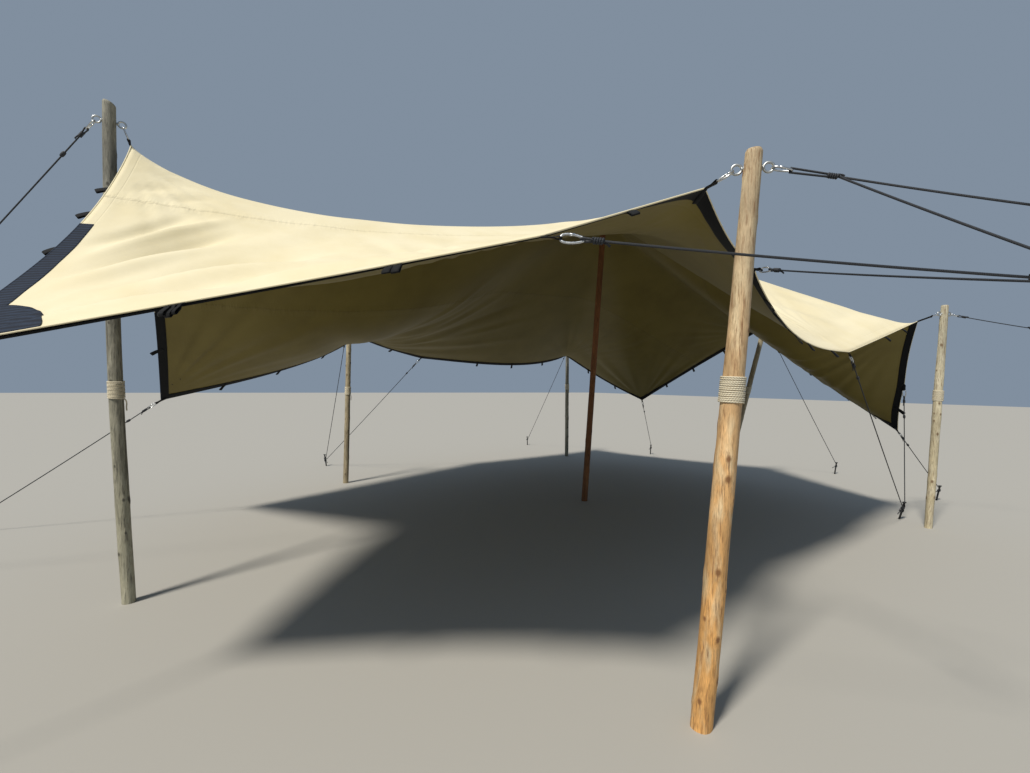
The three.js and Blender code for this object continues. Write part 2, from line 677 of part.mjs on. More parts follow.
const tent = new THREE.Group();
const samples = keptSamples(stretchedNet());
const roomOfCloth = clothRoom(samples);
tent.add(canopyPanels(samples));
named("edge_webbing", edgeWebbing(samples), materials.webbing, tent);
tent.add(cornerPatches(samples));
tent.add(centreMast());
POLES.forEach((pole) => tent.add(edgePole(pole)));
EDGE_TIES.forEach((tie) => named(`${tie.name}_rope`, edgeTie(tie), materials.rope, tent));
STAKES.forEach((stake) => named(stake.name, groundStake(stake), materials.stake, tent));

export default tent;
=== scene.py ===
import math

import bpy
import numpy as np
from mathutils import Matrix, Vector


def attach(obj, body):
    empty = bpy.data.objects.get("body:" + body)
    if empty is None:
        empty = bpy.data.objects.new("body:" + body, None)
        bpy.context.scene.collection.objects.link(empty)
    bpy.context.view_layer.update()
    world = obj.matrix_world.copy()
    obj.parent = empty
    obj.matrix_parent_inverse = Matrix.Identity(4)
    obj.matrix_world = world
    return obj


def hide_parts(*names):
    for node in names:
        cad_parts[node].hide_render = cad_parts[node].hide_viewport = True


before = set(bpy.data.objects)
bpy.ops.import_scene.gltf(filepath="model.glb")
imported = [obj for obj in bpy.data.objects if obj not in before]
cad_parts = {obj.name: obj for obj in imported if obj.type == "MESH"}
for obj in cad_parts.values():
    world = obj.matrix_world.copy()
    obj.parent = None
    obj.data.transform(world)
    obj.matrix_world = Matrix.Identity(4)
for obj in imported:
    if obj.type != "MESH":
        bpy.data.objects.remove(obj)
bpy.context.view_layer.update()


# Camera. The photograph was taken at standing eye height with a very wide lens, just outside the
# front left of the tent, looking almost level across it. The roll is the small tilt of its horizon.
PHOTO_WIDTH = 1030
FOCAL_PIXELS = 480
SENSOR_MM = 36
EYE = (-4.597, -4.694, 1.580)
HEADING = math.radians(54)
PITCH = math.radians(-0.406)
ROLL = 0.0138

level = np.array([math.cos(HEADING), math.sin(HEADING), 0])
across = np.array([math.sin(HEADING), -math.cos(HEADING), 0])
upright = np.array([0, 0, 1])
forward = math.cos(PITCH) * level + math.sin(PITCH) * upright
pitched = math.cos(PITCH) * upright - math.sin(PITCH) * level
right = math.cos(ROLL) * across + math.sin(ROLL) * pitched
top = math.cos(ROLL) * pitched - math.sin(ROLL) * across
lens = bpy.data.cameras.new("camera")
lens.sensor_fit = "HORIZONTAL"
lens.sensor_width = SENSOR_MM
lens.lens = SENSOR_MM * FOCAL_PIXELS / PHOTO_WIDTH
camera = bpy.data.objects.new("camera", lens)
rows = [[right[k], top[k], -forward[k], EYE[k]] for k in range(3)]
camera.matrix_world = Matrix([*rows, [0, 0, 0, 1]])
bpy.context.scene.collection.objects.link(camera)
bpy.context.scene.camera = camera


# Floor and light. A plain pale floor, a large soft key light from behind and left of the camera,
# where the sun stood, and a pale even light from all round. The standard display keeps the cream strong.
FLOOR_REACH = 60
FLOOR_GREY = "#A5A39D"
ROUND_LIGHT = "#BFD3EA"
ROUND_STRENGTH = 0.42
KEY_WARMTH = "#FFF8EC"
KEY_STRENGTH = 3.9
KEY_SPREAD = math.radians(9)
KEY_WAY = (0.536, 0.157, -0.829)


def linear(hex_colour):
    """An sRGB hex colour as linear RGBA: ((c + 0.055) / 1.055)^2.4 above 0.04, and c / 12.92 below."""
    c = np.array([int(hex_colour[k:k + 2], 16) for k in (1, 3, 5)]) / 255
    c = np.where(c > 0.04045, ((c + 0.055) / 1.055) ** 2.4, c / 12.92)
    return (*c.tolist(), 1.0)


def add_node(tree, kind, inputs=None, **settings):
    """Adds a shader node, sets its properties, and fills its sockets: a socket is linked, a value is set."""
    node = tree.nodes.new("ShaderNode" + kind)
    for name, value in settings.items():
        setattr(node, name, value)
    for name, value in (inputs or {}).items():
        if isinstance(value, bpy.types.NodeSocket):
            tree.links.new(value, node.inputs[name])
        else:
            node.inputs[name].default_value = value
    return node


def new_material(name):
    """An empty material: its node tree, and its Principled shader joined to the output."""
    material = bpy.data.materials.new(name)
    material.use_nodes = True
    tree = material.node_tree
    return material, tree, tree.nodes["Principled BSDF"]


def object_from(name, mesh, *materials):
    """A mesh as an object in the scene, with its materials."""
    made = bpy.data.objects.new(name, mesh)
    bpy.context.scene.collection.objects.link(made)
    for material in materials:
        mesh.materials.append(material)
    return made


floor_paint, _, shader = new_material("matt_floor_paint")
shader.inputs["Base Color"].default_value = linear(FLOOR_GREY)
shader.inputs["Roughness"].default_value = 0.9
floor_mesh = bpy.data.meshes.new("floor")
corners = [(-1, -1), (1, -1), (1, 1), (-1, 1)]
floor_mesh.from_pydata([(FLOOR_REACH * x, FLOOR_REACH * y, 0) for x, y in corners], [], [(0, 1, 2, 3)])
object_from("floor", floor_mesh, floor_paint)

key = bpy.data.objects.new("key_light", bpy.data.lights.new("key_light", "SUN"))
key.data.energy = KEY_STRENGTH
key.data.angle = KEY_SPREAD
key.data.color = linear(KEY_WARMTH)[:3]
key.rotation_mode = "QUATERNION"
key.rotation_quaternion = (-Vector(KEY_WAY)).to_track_quat("Z", "Y")
bpy.context.scene.collection.objects.link(key)
world = bpy.data.worlds.new("studio")
world.use_nodes = True
background = world.node_tree.nodes["Background"]
background.inputs["Color"].default_value = linear(ROUND_LIGHT)
background.inputs["Strength"].default_value = ROUND_STRENGTH
bpy.context.scene.world = world
bpy.context.scene.view_settings.view_transform = "Standard"


# Canopy. One sheet of sand-coloured stretch knit, coated on its underside, cut 9.9 m by 5.3 m from
# three lengthwise widths. It is pushed up by the mast and pulled out at fifteen places round its edge.
CLOTH_SIZE = (9.9, 5.3)
CLOTH_THICK = 0.0012
SUPPORTS = [
    # name, place on the net, place in metres, inward bow, drop, and shift of the edge up to the next one
    ("front_left_corner", (0, 0), (-5.370, -1.850, 1.680), 0.100, -0.020, 1),
    ("front_tie_1", (12, 0), (-3.510, -3.360, 2.105), 0, 0, 1),
    ("front_pole", (17, 0), (-2.570, -3.390, 2.500), 0.030, 0.030, 1),
    ("front_tie_2", (22, 0), (-1.640, -3.140, 2.310), 0.030, 0.180, 0.8),
    ("front_tie_3", (30, 0), (0.120, -3.050, 1.885), 0.050, 0.030, 1),
    ("right_pole", (41, 0), (2.230, -2.980, 2.340), 0.020, 0, 1),
    ("side_tie", (45, 0), (2.490, -2.800, 1.620), 0.020, 0, 1),
    ("front_right_corner", (48, 0), (2.800, -2.660, 1.050), 0.060, 0, 1),
    ("end_pole", (48, 14), (3.330, -0.560, 2.470), 0.060, 0, 1),
    ("back_right_corner", (48, 28), (3.270, 1.710, 1.270), 0.050, 0.050, 1),
    ("back_right_pole", (38, 28), (2.390, 3.090, 2.200), 0.050, 0.180, 0.7),
    ("back_tie", (21, 28), (-1.040, 2.980, 1.990), 0.030, 0.020, 1),
    ("back_left_pole", (14, 28), (-2.250, 2.620, 2.220), 0.050, 0.090, 0.8),
    ("back_left_corner", (0, 28), (-4.640, 1.760, 1.345), 0.030, 0, 1),
    ("left_pole", (0, 12), (-4.810, -0.340, 3.220), 0.030, 0.130, 0.8),
]
MAST_HEAD = (0.170, -0.120)
PEAK_HEIGHT = 3.820
PEAK_DISC = 0.060
# The net that carries the cloth: its cells along and over it, where the peak and the seams lie on it, and
# how many steps each cell is made of in the end.
NET = (48, 28)
PEAK_PLACE = (28, 14)
SEAM_LINES = (9, 20)
FINE = 6
# A line from the peak hangs by SPOKE_DROP where it is SPOKE_LENGTH long, and by up to WING_DROP more towards
# the back of the left wing, where that sets in over this many cells along and over the net.
SPOKE_DROP = 0.040
SPOKE_LENGTH = 3.77
WING_DROP = 0.300
WING_CELLS = (10, 7)
# The net is evened out in full up to the first of these lines across it, and from there less and less,
# down to TAUT_SHARE at the second.
EVENING_LINES = (10, 24)
TAUT_SHARE = 0.03
LENGTHWISE_PULL = 4
EVENING_ROUNDS = 40
EDGE_ROUNDS = 12
# Folds calm down to this share of their height over this last stretch before the edge.
CALM_LEAST = 0.25
CALM_REACH = 0.16
# A fan's second wave: how many times as fast as its first, and how high beside it.
SECOND_PACE = 1.63
SECOND_SHARE = 0.4
# Folds that fan out from where the cloth is held: towards where, how wide, how many, how high, how far.
FANS = [
    ("front_left_corner", "front_pole", 0.42, 3, 0.020, 1.0),
    ("front_left_corner", "right_pole", 0.70, 5, 0.016, 1.5),
    ("left_pole", "front_tie_2", 0.90, 9, 0.009, 0.45),
    ("left_pole", "back_left_pole", 0.60, 6, 0.009, 0.6),
    ("front_pole", "back_left_pole", 0.80, 7, 0.008, 0.55),
    ("front_pole", "right_pole", 0.60, 6, 0.008, 0.7),
    ("front_tie_1", "back_left_pole", 0.70, 5, 0.009, 0.6),
    ("back_left_pole", "end_pole", 0.45, 5, 0.008, 1.2),
    ("back_left_corner", "left_pole", 0.50, 5, 0.012, 0.8),
    ("back_left_corner", "front_pole", 0.60, 5, 0.010, 1.0),
    ("back_right_corner", "end_pole", 0.60, 5, 0.012, 0.8),
    ("back_right_corner", "back_left_pole", 0.60, 6, 0.012, 1.1),
    ("right_pole", "end_pole", 0.70, 6, 0.012, 0.8),
    ("front_right_corner", "end_pole", 0.60, 5, 0.012, 0.8),
    ("end_pole", "left_pole", 0.80, 8, 0.010, 0.6),
    ("back_right_pole", "front_tie_3", 0.80, 7, 0.010, 0.7),
    ("front_tie_3", "back_tie", 0.80, 6, 0.009, 0.5),
]
# Single folds on the flat cloth, in metres: from, to, half width, and height, which is below zero for a
# valley. The three widest start past the back edge and lift it beside the back left pole's tip.
FOLDS = [
    ((0.05, 0.78), (0.95, 1.72), 0.052, 0.046),
    ((0.12, 0.62), (1.05, 1.50), 0.062, -0.052),
    ((0.05, 1.00), (0.66, 1.68), 0.048, -0.038),
    ((0.05, 0.42), (1.10, 1.28), 0.070, 0.044),
    ((0.25, 0.45), (1.90, 1.15), 0.120, -0.052),
    ((0.05, 0.30), (2.20, 0.88), 0.065, 0.042),
    ((0.10, 0.28), (2.90, 0.44), 0.085, -0.058),
    ((0.20, 0.13), (3.30, 0.15), 0.055, 0.020),
    ((0.06, 1.80), (0.42, 1.98), 0.045, -0.016),
    ((0.16, 2.12), (0.60, 2.02), 0.045, -0.016),
    ((0.28, 1.72), (0.72, 1.96), 0.045, -0.014),
    ((6.50, 1.15), (7.90, 0.22), 0.050, -0.012),
    ((6.30, 1.05), (7.70, 0.15), 0.055, 0.016),
    ((6.15, 0.95), (7.40, 0.12), 0.055, -0.016),
    ((6.00, 0.85), (7.10, 0.10), 0.055, 0.016),
    ((6.30, 0.10), (8.45, 0.16), 0.060, 0.014),
    ((6.30, 0.30), (8.40, 0.36), 0.070, -0.014),
    ((2.60, 5.80), (3.85, 3.80), 0.300, 0.085),
    ((3.15, 5.80), (1.60, 3.95), 0.280, 0.075),
    ((2.90, 5.90), (2.75, 4.40), 0.180, 0.055),
    ((2.75, 5.05), (4.40, 3.20), 0.055, -0.020),
    ((2.80, 5.08), (4.90, 3.35), 0.050, 0.014),
    ((2.85, 5.10), (5.40, 3.50), 0.055, -0.018),
    ((2.90, 5.12), (5.90, 3.70), 0.055, 0.014),
    ((2.95, 5.12), (6.40, 4.10), 0.060, -0.016),
    ((3.00, 5.12), (6.60, 4.55), 0.060, -0.012),
    ((5.00, 0.15), (8.20, 0.15), 0.060, -0.010),
]


def edge_of_canopy(fine):
    """The held edge on a net with `fine` steps to a cell. It runs from one support to the next as
    from + (to - from)·t + sag·sin(pi·t^shift)."""
    places, points = [], []
    for k, (_, net, at, bow, drop, shift) in enumerate(SUPPORTS):
        _, next_net, next_at, *_ = SUPPORTS[(k + 1) % len(SUPPORTS)]
        start, end = np.array(at), np.array(next_at)
        middle = (start + end)[:2]
        sag = np.append(-bow * middle / np.linalg.norm(middle), -drop)
        run = fine * np.subtract(next_net, net)
        t = np.arange(abs(run).max()) / abs(run).max()
        places.append(np.rint(fine * np.array(net) + np.outer(t, run)).astype(int))
        points.append(start + np.outer(t, end - start) + np.outer(np.sin(math.pi * t**shift), sag))
    return np.concatenate(places), np.concatenate(points)


def hold(net, fine):
    """Sets the held points, the edge and the flat piece on the mast's cap, and returns which they are."""
    places, points = edge_of_canopy(fine)
    net[places[:, 0], places[:, 1]] = points
    i, j = np.indices(net.shape[:2])
    along, over = i / fine - PEAK_PLACE[0], j / fine - PEAK_PLACE[1]
    on_cap = (np.hypot(along, over) <= 1.001) if fine > 1 else (np.maximum(abs(along), abs(over)) <= 1)
    spread = PEAK_DISC * np.stack([along, over, np.zeros_like(along)], -1)
    net[on_cap] = (np.array([*MAST_HEAD, PEAK_HEIGHT]) + spread)[on_cap]
    held = on_cap.copy()
    held[places[:, 0], places[:, 1]] = True
    return held


def even_out(net, held, slack, rounds):
    """Moves each free point by its slack towards (4·(left + right) + front + back) / 10."""
    moves = np.where(held, 0, slack)[1:-1, 1:-1, None]
    for _ in range(rounds):
        along = net[:-2, 1:-1] + net[2:, 1:-1]
        over = net[1:-1, :-2] + net[1:-1, 2:]
        mean = (LENGTHWISE_PULL * along + over) / (2 * LENGTHWISE_PULL + 2)
        net[1:-1, 1:-1] += moves * (mean - net[1:-1, 1:-1])


def between(field, i, j):
    """A grid's values at fractional places: the mean of the four points round each, weighted by nearness."""
    i0 = np.clip(np.floor(i).astype(int), 0, field.shape[0] - 2)
    j0 = np.clip(np.floor(j).astype(int), 0, field.shape[1] - 2)
    a, b = (i - i0)[..., None], (j - j0)[..., None]
    near = field[i0, j0] * (1 - a) + field[i0 + 1, j0] * a
    far = field[i0, j0 + 1] * (1 - a) + field[i0 + 1, j0 + 1] * a
    return near * (1 - b) + far * b


def unit(vectors):
    """Vectors in the same directions, of length 1."""
    return vectors / np.linalg.norm(vectors, axis=-1, keepdims=True)


def upward(net):
    """The surface direction of a net: the step along it crossed with the step over it."""
    return unit(np.cross(np.gradient(net, axis=0), np.gradient(net, axis=1)))


def spokes(net):
    """Lines from the peak to the edge, hung: peak + share·(end - peak) - 4·share·(1 - share)·drop, with
    drop = spoke drop·(length / typical length)² + wing drop towards the back of the left wing."""
    i, j = np.indices(net.shape[:2]).astype(float)
    off = np.stack([i - PEAK_PLACE[0], j - PEAK_PLACE[1]])
    after, before = np.subtract(NET, PEAK_PLACE), -np.array(PEAK_PLACE)
    room = np.where(off > 0, after[:, None, None], before[:, None, None])
    reaches = np.divide(room, off, out=np.full(off.shape, np.inf), where=off != 0)
    reaches[:, PEAK_PLACE[0], PEAK_PLACE[1]] = 1
    reach = reaches.min(0)
    end_i, end_j = (start + step * reach for start, step in zip(PEAK_PLACE, off))
    on_side = (reaches[0] <= reaches[1])[..., None]
    end = np.where(on_side, between(net, np.rint(end_i), end_j), between(net, end_i, np.rint(end_j)))
    length = reach * np.hypot(*(step * cut / last for step, cut, last in zip(off, CLOTH_SIZE, NET)))
    share = 1 / reach
    wing = np.clip(-off[0] / WING_CELLS[0], 0, 1) * np.clip(off[1] / WING_CELLS[1], 0, 1)
    drop = WING_DROP * wing + SPOKE_DROP * (length / SPOKE_LENGTH) ** 2
    peak = np.array([*MAST_HEAD, PEAK_HEIGHT])
    hung = peak + share[..., None] * (end - peak)
    hung[..., 2] -= 4 * share * (1 - share) * drop
    return hung


def curved(points, t):
    """Places at t, counted in points, on a curve through the points along axis 0, by Catmull-Rom:
    b + f·(c - a)/2 + f²·(2a - 5b + 4c - d)/2 + f³·(3b - a - 3c + d)/2, with f the way from b to c."""
    line = np.concatenate([2 * points[:1] - points[1:2], points, 2 * points[-1:] - points[-2:-1]])
    k = np.minimum(t.astype(int), len(line) - 4)
    f = (t - k).reshape(-1, *[1] * (line.ndim - 1))
    a, b, c, d = (line[k + step] for step in range(4))
    return b + f * (c - a) / 2 + f**2 * (2 * a - 5 * b + 4 * c - d) / 2 + f**3 * (3 * b - a - 3 * c + d) / 2


def finer(lines, times):
    """Lines of points made finer along axis 0, with `times` steps from each point to the next."""
    return curved(lines, np.arange((len(lines) - 1) * times + 1) / times)


def stretched_net():
    """The canopy's middle surface: hung spokes evened out on the coarse net, then a net six times finer."""
    net = np.zeros((NET[0] + 1, NET[1] + 1, 3))
    held = hold(net, 1)
    net = np.where(held[..., None], net, spokes(net))
    first, last = EVENING_LINES
    slack = np.clip((last - np.arange(NET[0] + 1)) / (last - first), TAUT_SHARE, 1)
    even_out(net, held, slack[:, None], EVENING_ROUNDS)
    net = finer(finer(net, FINE).swapaxes(0, 1), FINE).swapaxes(0, 1).copy()
    held = hold(net, FINE)
    even_out(net, held, 1, EDGE_ROUNDS)
    return net


def fan_folds(flat):
    """Folds round each held place: height·(r/R)·exp((1 - (r/R)²)/2)·wave·exp(-(a/spread)²), with r the
    distance, R the reach and a the angle from the fan's middle, all on the flat cloth. The wave is
    cos(folds·pi·a/spread) and a weaker one of another pace."""
    cut = {name: np.multiply(net, CLOTH_SIZE) / NET for name, net, *_ in SUPPORTS}
    folds = np.zeros(flat.shape[:2])
    for start, towards, spread, count, height, reach in FANS:
        offset = flat - cut[start]
        way = cut[towards] - cut[start]
        turn = np.arctan2(offset[..., 1], offset[..., 0]) - math.atan2(way[1], way[0])
        turn = (turn + math.pi) % (2 * math.pi) - math.pi
        far = np.linalg.norm(offset, axis=-1) / reach
        phase = count * math.pi * turn / spread
        wave = np.cos(phase) + SECOND_SHARE * np.cos(SECOND_PACE * phase + 1)
        folds += height * far * np.exp((1 - far**2) / 2) * wave * np.exp(-((turn / spread) ** 2))
    return folds


def single_folds(flat):
    """Ridges and valleys along lines: height·exp(-(off/half width)²), eased along each by sin²."""
    folds = np.zeros(flat.shape[:2])
    for start, end, width, height in FOLDS:
        run = np.subtract(end, start)
        length = math.hypot(*run)
        offset = flat - np.array(start)
        along = np.clip((offset @ run) / length**2, 0, 1)
        off = (offset[..., 1] * run[0] - offset[..., 0] * run[1]) / length
        folds += height * np.exp(-((off / width) ** 2)) * np.sin(math.pi * along) ** 2
    return folds


membrane = stretched_net()
LAST = (membrane.shape[0] - 1, membrane.shape[1] - 1)
rows_i, cols_j = np.indices(membrane.shape[:2])
flat_places = np.stack([rows_i / LAST[0] * CLOTH_SIZE[0], cols_j / LAST[1] * CLOTH_SIZE[1]], -1)
steps_over = np.linalg.norm(np.diff(membrane, axis=1), axis=-1)
steps_along = np.linalg.norm(np.diff(membrane, axis=0), axis=-1)
length_over = np.pad(np.cumsum(steps_over, axis=1), ((0, 0), (1, 0)))
length_along = np.pad(np.cumsum(steps_along, axis=0), ((1, 0), (0, 0)))
from_edge = np.minimum.reduce([
    length_over, length_over[:, -1:] - length_over, length_along, length_along[-1:] - length_along,
])
calm = CALM_LEAST + (1 - CALM_LEAST) * np.clip(from_edge / CALM_REACH, 0, 1)
from_peak = np.hypot(membrane[..., 0] - MAST_HEAD[0], membrane[..., 1] - MAST_HEAD[1])
calm *= np.clip((from_peak - PEAK_DISC) / PEAK_DISC, 0, 1)
folded = (calm * (fan_folds(flat_places) + single_folds(flat_places)))[..., None]
sheet_points = membrane + folded * upward(membrane)
sheet_normals = upward(sheet_points)


def grid(rows, cols, round_rows=False, round_cols=False):
    """Quads over a grid of points: corner numbers, and each corner's (row, column), unrolled at a join."""
    r = np.arange(rows if round_rows else rows - 1)
    c = np.arange(cols if round_cols else cols - 1)
    low = np.stack(np.meshgrid(r, c, indexing="ij"), -1).reshape(-1, 1, 2)
    corners = low + np.array([(0, 0), (1, 0), (1, 1), (0, 1)])
    return (corners[..., 0] % rows) * cols + corners[..., 1] % cols, corners


def shell(points, quads, quad_uv, tris=None, tri_uv=None):
    """A bare skin: points, corner numbers and a UV for each corner."""
    no_tris = tris is None
    return {
        "points": points.reshape(-1, 3),
        "quads": quads,
        "quad_uv": quad_uv,
        "tris": np.zeros((0, 3), int) if no_tris else tris,
        "tri_uv": np.zeros((0, 3, 2)) if no_tris else tri_uv,
    }


def sheet_shell(points, uv):
    """A skin over a grid of points that isn't closed either way."""
    quads, corners = grid(*points.shape[:2])
    return shell(points, quads, uv[corners[..., 0], corners[..., 1]])


def joined(shells):
    """Several skins as one: corner numbers move past the points before them."""
    starts = np.cumsum([0] + [len(s["points"]) for s in shells[:-1]])
    whole = {key: np.concatenate([s[key] for s in shells]) for key in ("points", "quad_uv", "tri_uv")}
    for key in ("quads", "tris"):
        whole[key] = np.concatenate([s[key] + start for s, start in zip(shells, starts)])
    return whole


def make_piece(name, skin, nodes=(), materials=(), thick=0):
    """A skin as a finished piece: a smooth mesh with UVs, a wall, a body and what it replaces."""
    mesh = bpy.data.meshes.new(name)
    mesh.from_pydata(skin["points"].tolist(), [], skin["quads"].tolist() + skin["tris"].tolist())
    uv = np.concatenate([skin["quad_uv"].reshape(-1, 2), skin["tri_uv"].reshape(-1, 2)])
    mesh.uv_layers.new(name="UVMap").data.foreach_set("uv", uv.astype(np.float32).ravel())
    mesh.shade_smooth()
    made = object_from(name, mesh, *materials)
    if thick:
        wall = made.modifiers.new("wall", "SOLIDIFY")
        wall.thickness = thick
        wall.offset = 0
        wall.material_offset = len(materials) - 1
    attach(made, "root")
    if nodes:
        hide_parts(*nodes)
    return made


# Coated stretch knit, sand-coloured: a warp-knitted polyester with a matt face. The eye sees a soft, almost
# grainless cream, a little uneven, with puckers beside the seams and painted shade in a line along a seam's
# two sides.
KNIT_FACE = "#E4DABA"
KNIT_FACE_WORN = "#DDD1AC"
# The underside is the same sand cloth under its coating: its darker olive colours are painted shade, for the
# canopy's own shadow over it.
KNIT_BACK_SHADED = "#796C31"
KNIT_BACK_SHADED_WORN = "#6F622A"
KNIT_RIB = 0.01184       # real ribs are 1 mm apart: drawn coarser so that they show
DRIFT = 0.55
WRINKLE = 0.11
PUCKER = (0.045, 0.16)   # along the seam, and across it
PUCKER_REACH = 0.085
SEAM_WIDTH = 0.016
# SEAM_SHADE is painted shade: the colour of the darker line along each side of a seam, where the raised seam
# shades the cloth.
SEAM_SHADE = "#4A3E1E"
HEM_STITCHES = 0.073     # from the edge: the upper row that holds the webbing below
WAVE_TURN = 20           # how far the wave texture turns in a metre at scale 1, in radians


def wave_scale(gap):
    """The wave texture's scale for crests that are `gap` metres apart."""
    return 2 * math.pi / (WAVE_TURN * gap)


def knit_material(name, colour, worn, roughness, sheen):
    """The knit's colour drifts with noise over half a metre. Ribs, wrinkles, seam puckers and the dip along
    the hem's stitches are bump."""
    material, tree, shader = new_material(name)
    uv = add_node(tree, "TexCoord").outputs["UV"]
    drift = add_node(tree, "TexNoise", {"Vector": uv, "Scale": 1 / DRIFT, "Detail": 4.0, "Roughness": 0.6})
    share = add_node(tree, "MapRange", {"Value": drift.outputs["Fac"], "From Min": 0.38, "From Max": 0.68})
    parts = add_node(tree, "SeparateXYZ", {"Vector": uv})
    beside = None
    for line in SEAM_LINES:
        seam_at = line / NET[1] * CLOTH_SIZE[1]
        off = add_node(tree, "Math", {0: parts.outputs["Y"], 1: seam_at}, operation="SUBTRACT")
        near = add_node(tree, "Math", {0: off.outputs[0]}, operation="ABSOLUTE")
        if beside is None:
            beside = near
        else:
            beside = add_node(tree, "Math", {0: beside.outputs[0], 1: near.outputs[0]}, operation="MINIMUM")
    insets = [parts.outputs["X"], parts.outputs["Y"]]
    for size, across in zip(CLOTH_SIZE, ("X", "Y")):
        far = add_node(tree, "Math", {0: size, 1: parts.outputs[across]}, operation="SUBTRACT")
        insets.append(far.outputs[0])
    inset = insets[0]
    for other in insets[1:]:
        inset = add_node(tree, "Math", {0: inset, 1: other}, operation="MINIMUM").outputs[0]
    from_row = add_node(tree, "Math", {0: inset, 1: HEM_STITCHES}, operation="SUBTRACT")
    row_gap = add_node(tree, "Math", {0: from_row.outputs[0]}, operation="ABSOLUTE")
    row_dip = add_node(tree, "MapRange", {"Value": row_gap.outputs[0], "From Max": 0.007})
    at_seam = add_node(tree, "MapRange", {
        "Value": beside.outputs[0], "From Min": 0.004, "From Max": PUCKER_REACH,
        "To Min": 1.0, "To Max": 0.0,
    })
    stretched = add_node(tree, "Mapping", {"Vector": uv, "Scale": (1 / PUCKER[0], 1 / PUCKER[1], 1)})
    pucker = add_node(tree, "TexNoise", {"Vector": stretched.outputs[0], "Scale": 1.0, "Detail": 2.0})
    puckered = add_node(tree, "Math", {
        0: pucker.outputs["Fac"], 1: at_seam.outputs[0],
    }, operation="MULTIPLY")
    soft = add_node(tree, "TexNoise", {"Vector": uv, "Scale": 1 / WRINKLE, "Detail": 3.0, "Distortion": 0.6})
    ribs = add_node(tree, "TexWave", {"Vector": uv, "Scale": wave_scale(KNIT_RIB)}, bands_direction="Y")
    first = add_node(tree, "Bump", {"Height": soft.outputs["Fac"], "Distance": 0.003, "Strength": 0.25})
    second = add_node(tree, "Bump", {
        "Height": puckered.outputs[0], "Distance": 0.012, "Strength": 0.8, "Normal": first.outputs[0],
    })
    third = add_node(tree, "Bump", {
        "Height": ribs.outputs["Fac"], "Distance": 0.0004, "Strength": 0.25, "Normal": second.outputs[0],
    })
    fourth = add_node(tree, "Bump", {
        "Height": row_dip.outputs[0], "Distance": 0.002, "Strength": 0.5, "Normal": third.outputs[0],
    })
    fade = add_node(tree, "MixRGB", {
        "Fac": share.outputs[0], "Color1": linear(colour), "Color2": linear(worn),
    })
    # Painted shade in a line along each side of a seam.
    off_edge = add_node(tree, "Math", {0: beside.outputs[0], 1: SEAM_WIDTH / 2}, operation="SUBTRACT")
    gap = add_node(tree, "Math", {0: off_edge.outputs[0]}, operation="ABSOLUTE")
    shade = add_node(tree, "MapRange", {
        "Value": gap.outputs[0], "From Max": 0.005, "To Min": 0.32, "To Max": 0.0,
    })
    lined = add_node(tree, "MixRGB", {
        "Fac": shade.outputs[0], "Color1": fade.outputs[0], "Color2": linear(SEAM_SHADE),
    })
    tree.links.new(lined.outputs[0], shader.inputs["Base Color"])
    tree.links.new(fourth.outputs[0], shader.inputs["Normal"])
    shader.inputs["Roughness"].default_value = roughness
    shader.inputs["Sheen Weight"].default_value = sheen
    shader.inputs["Sheen Roughness"].default_value = 0.5
    return material


knit_face = knit_material("coated_stretch_knit_face", KNIT_FACE, KNIT_FACE_WORN, 0.85, 0.10)
# The underside: the face's knit with painted shade in its colours, a little glossier for its coating.
knit_back_shaded = knit_material("coated_stretch_knit_back_shaded", KNIT_BACK_SHADED, KNIT_BACK_SHADED_WORN, 0.62, 0.0)
canopy = make_piece(
    "stretch_canopy", sheet_shell(sheet_points, flat_places),
    ["canopy_front_panel", "canopy_middle_panel", "canopy_back_panel"], [knit_face, knit_back_shaded], CLOTH_THICK,
)


# Seams. Where two widths of cloth meet, a narrow felled seam is sewn flat through all layers, and it
# shows on both faces as a raised ribbon with painted shade along each side.
SEAM_STANDS = 0.0011
SEAM_SUNK = 0.0003
SEAM_COLUMNS = 5

half = CLOTH_THICK / 2
ribbons = []
for line in SEAM_LINES:
    cell = steps_over[:, line * FINE].mean()
    columns = np.linspace(-SEAM_WIDTH / 2, SEAM_WIDTH / 2, SEAM_COLUMNS)
    crown = 1 - (2 * columns / SEAM_WIDTH) ** 2
    i, _ = np.indices((LAST[0] + 1, SEAM_COLUMNS))
    j = line * FINE + np.broadcast_to(columns / cell, i.shape)
    points, normals = between(sheet_points, i, j), between(sheet_normals, i, j)
    places = between(flat_places, i, j)
    for side in (1, -1):
        lift = side * (half - SEAM_SUNK + SEAM_STANDS * np.sqrt(crown))[None, :, None]
        ribbon = sheet_shell(points + lift * normals, places)
        if side < 0:
            ribbon["quads"] = ribbon["quads"][:, ::-1]
            ribbon["quad_uv"] = ribbon["quad_uv"][:, ::-1]
        ribbons.append(ribbon)
seams_top = make_piece("seams_top", joined(ribbons[0::2]), (), [knit_face])
# The underside ribbons carry the underside's painted shade.
seams_under = make_piece("seams_under", joined(ribbons[1::2]), (), [knit_back_shaded])


# Hem. The edge of the cloth is rolled over and sewn, and a wide band of black webbing is sewn under it all
# the way round, with mitred corners. Its outer margin is loose and curls down, so it shows below the edge.
ROLL_RADIUS = 0.0038
# The webbing's cross-section: how far in from the edge, and how far below the cloth.
BAND_PROFILE = (
    (0.001, 0.017), (0.002, 0.011), (0.007, 0.0055), (0.016, 0.0018),
    (0.030, 0), (0.046, 0), (0.060, 0), (0.072, 0),
)
BAND_THICK = 0.0022
BAND_GAP = 0.0014
EDGE_CELLS = 4           # how many cells in from the edge its scale is read over
# The curl is full at the front left corner and falls to this share of it some way along both edges.
CURL_LEAST = 0.10
CURL_REACH = 1.9
HEM_BLACK = "#090A0C"
# The second colour is a painted bluish sheen on the webbing's rib crowns.
HEM_SHEEN_BLUE = "#14171C"
WEBBING_RIB = 0.01184
WEBBING_RELIEF = 0.0008


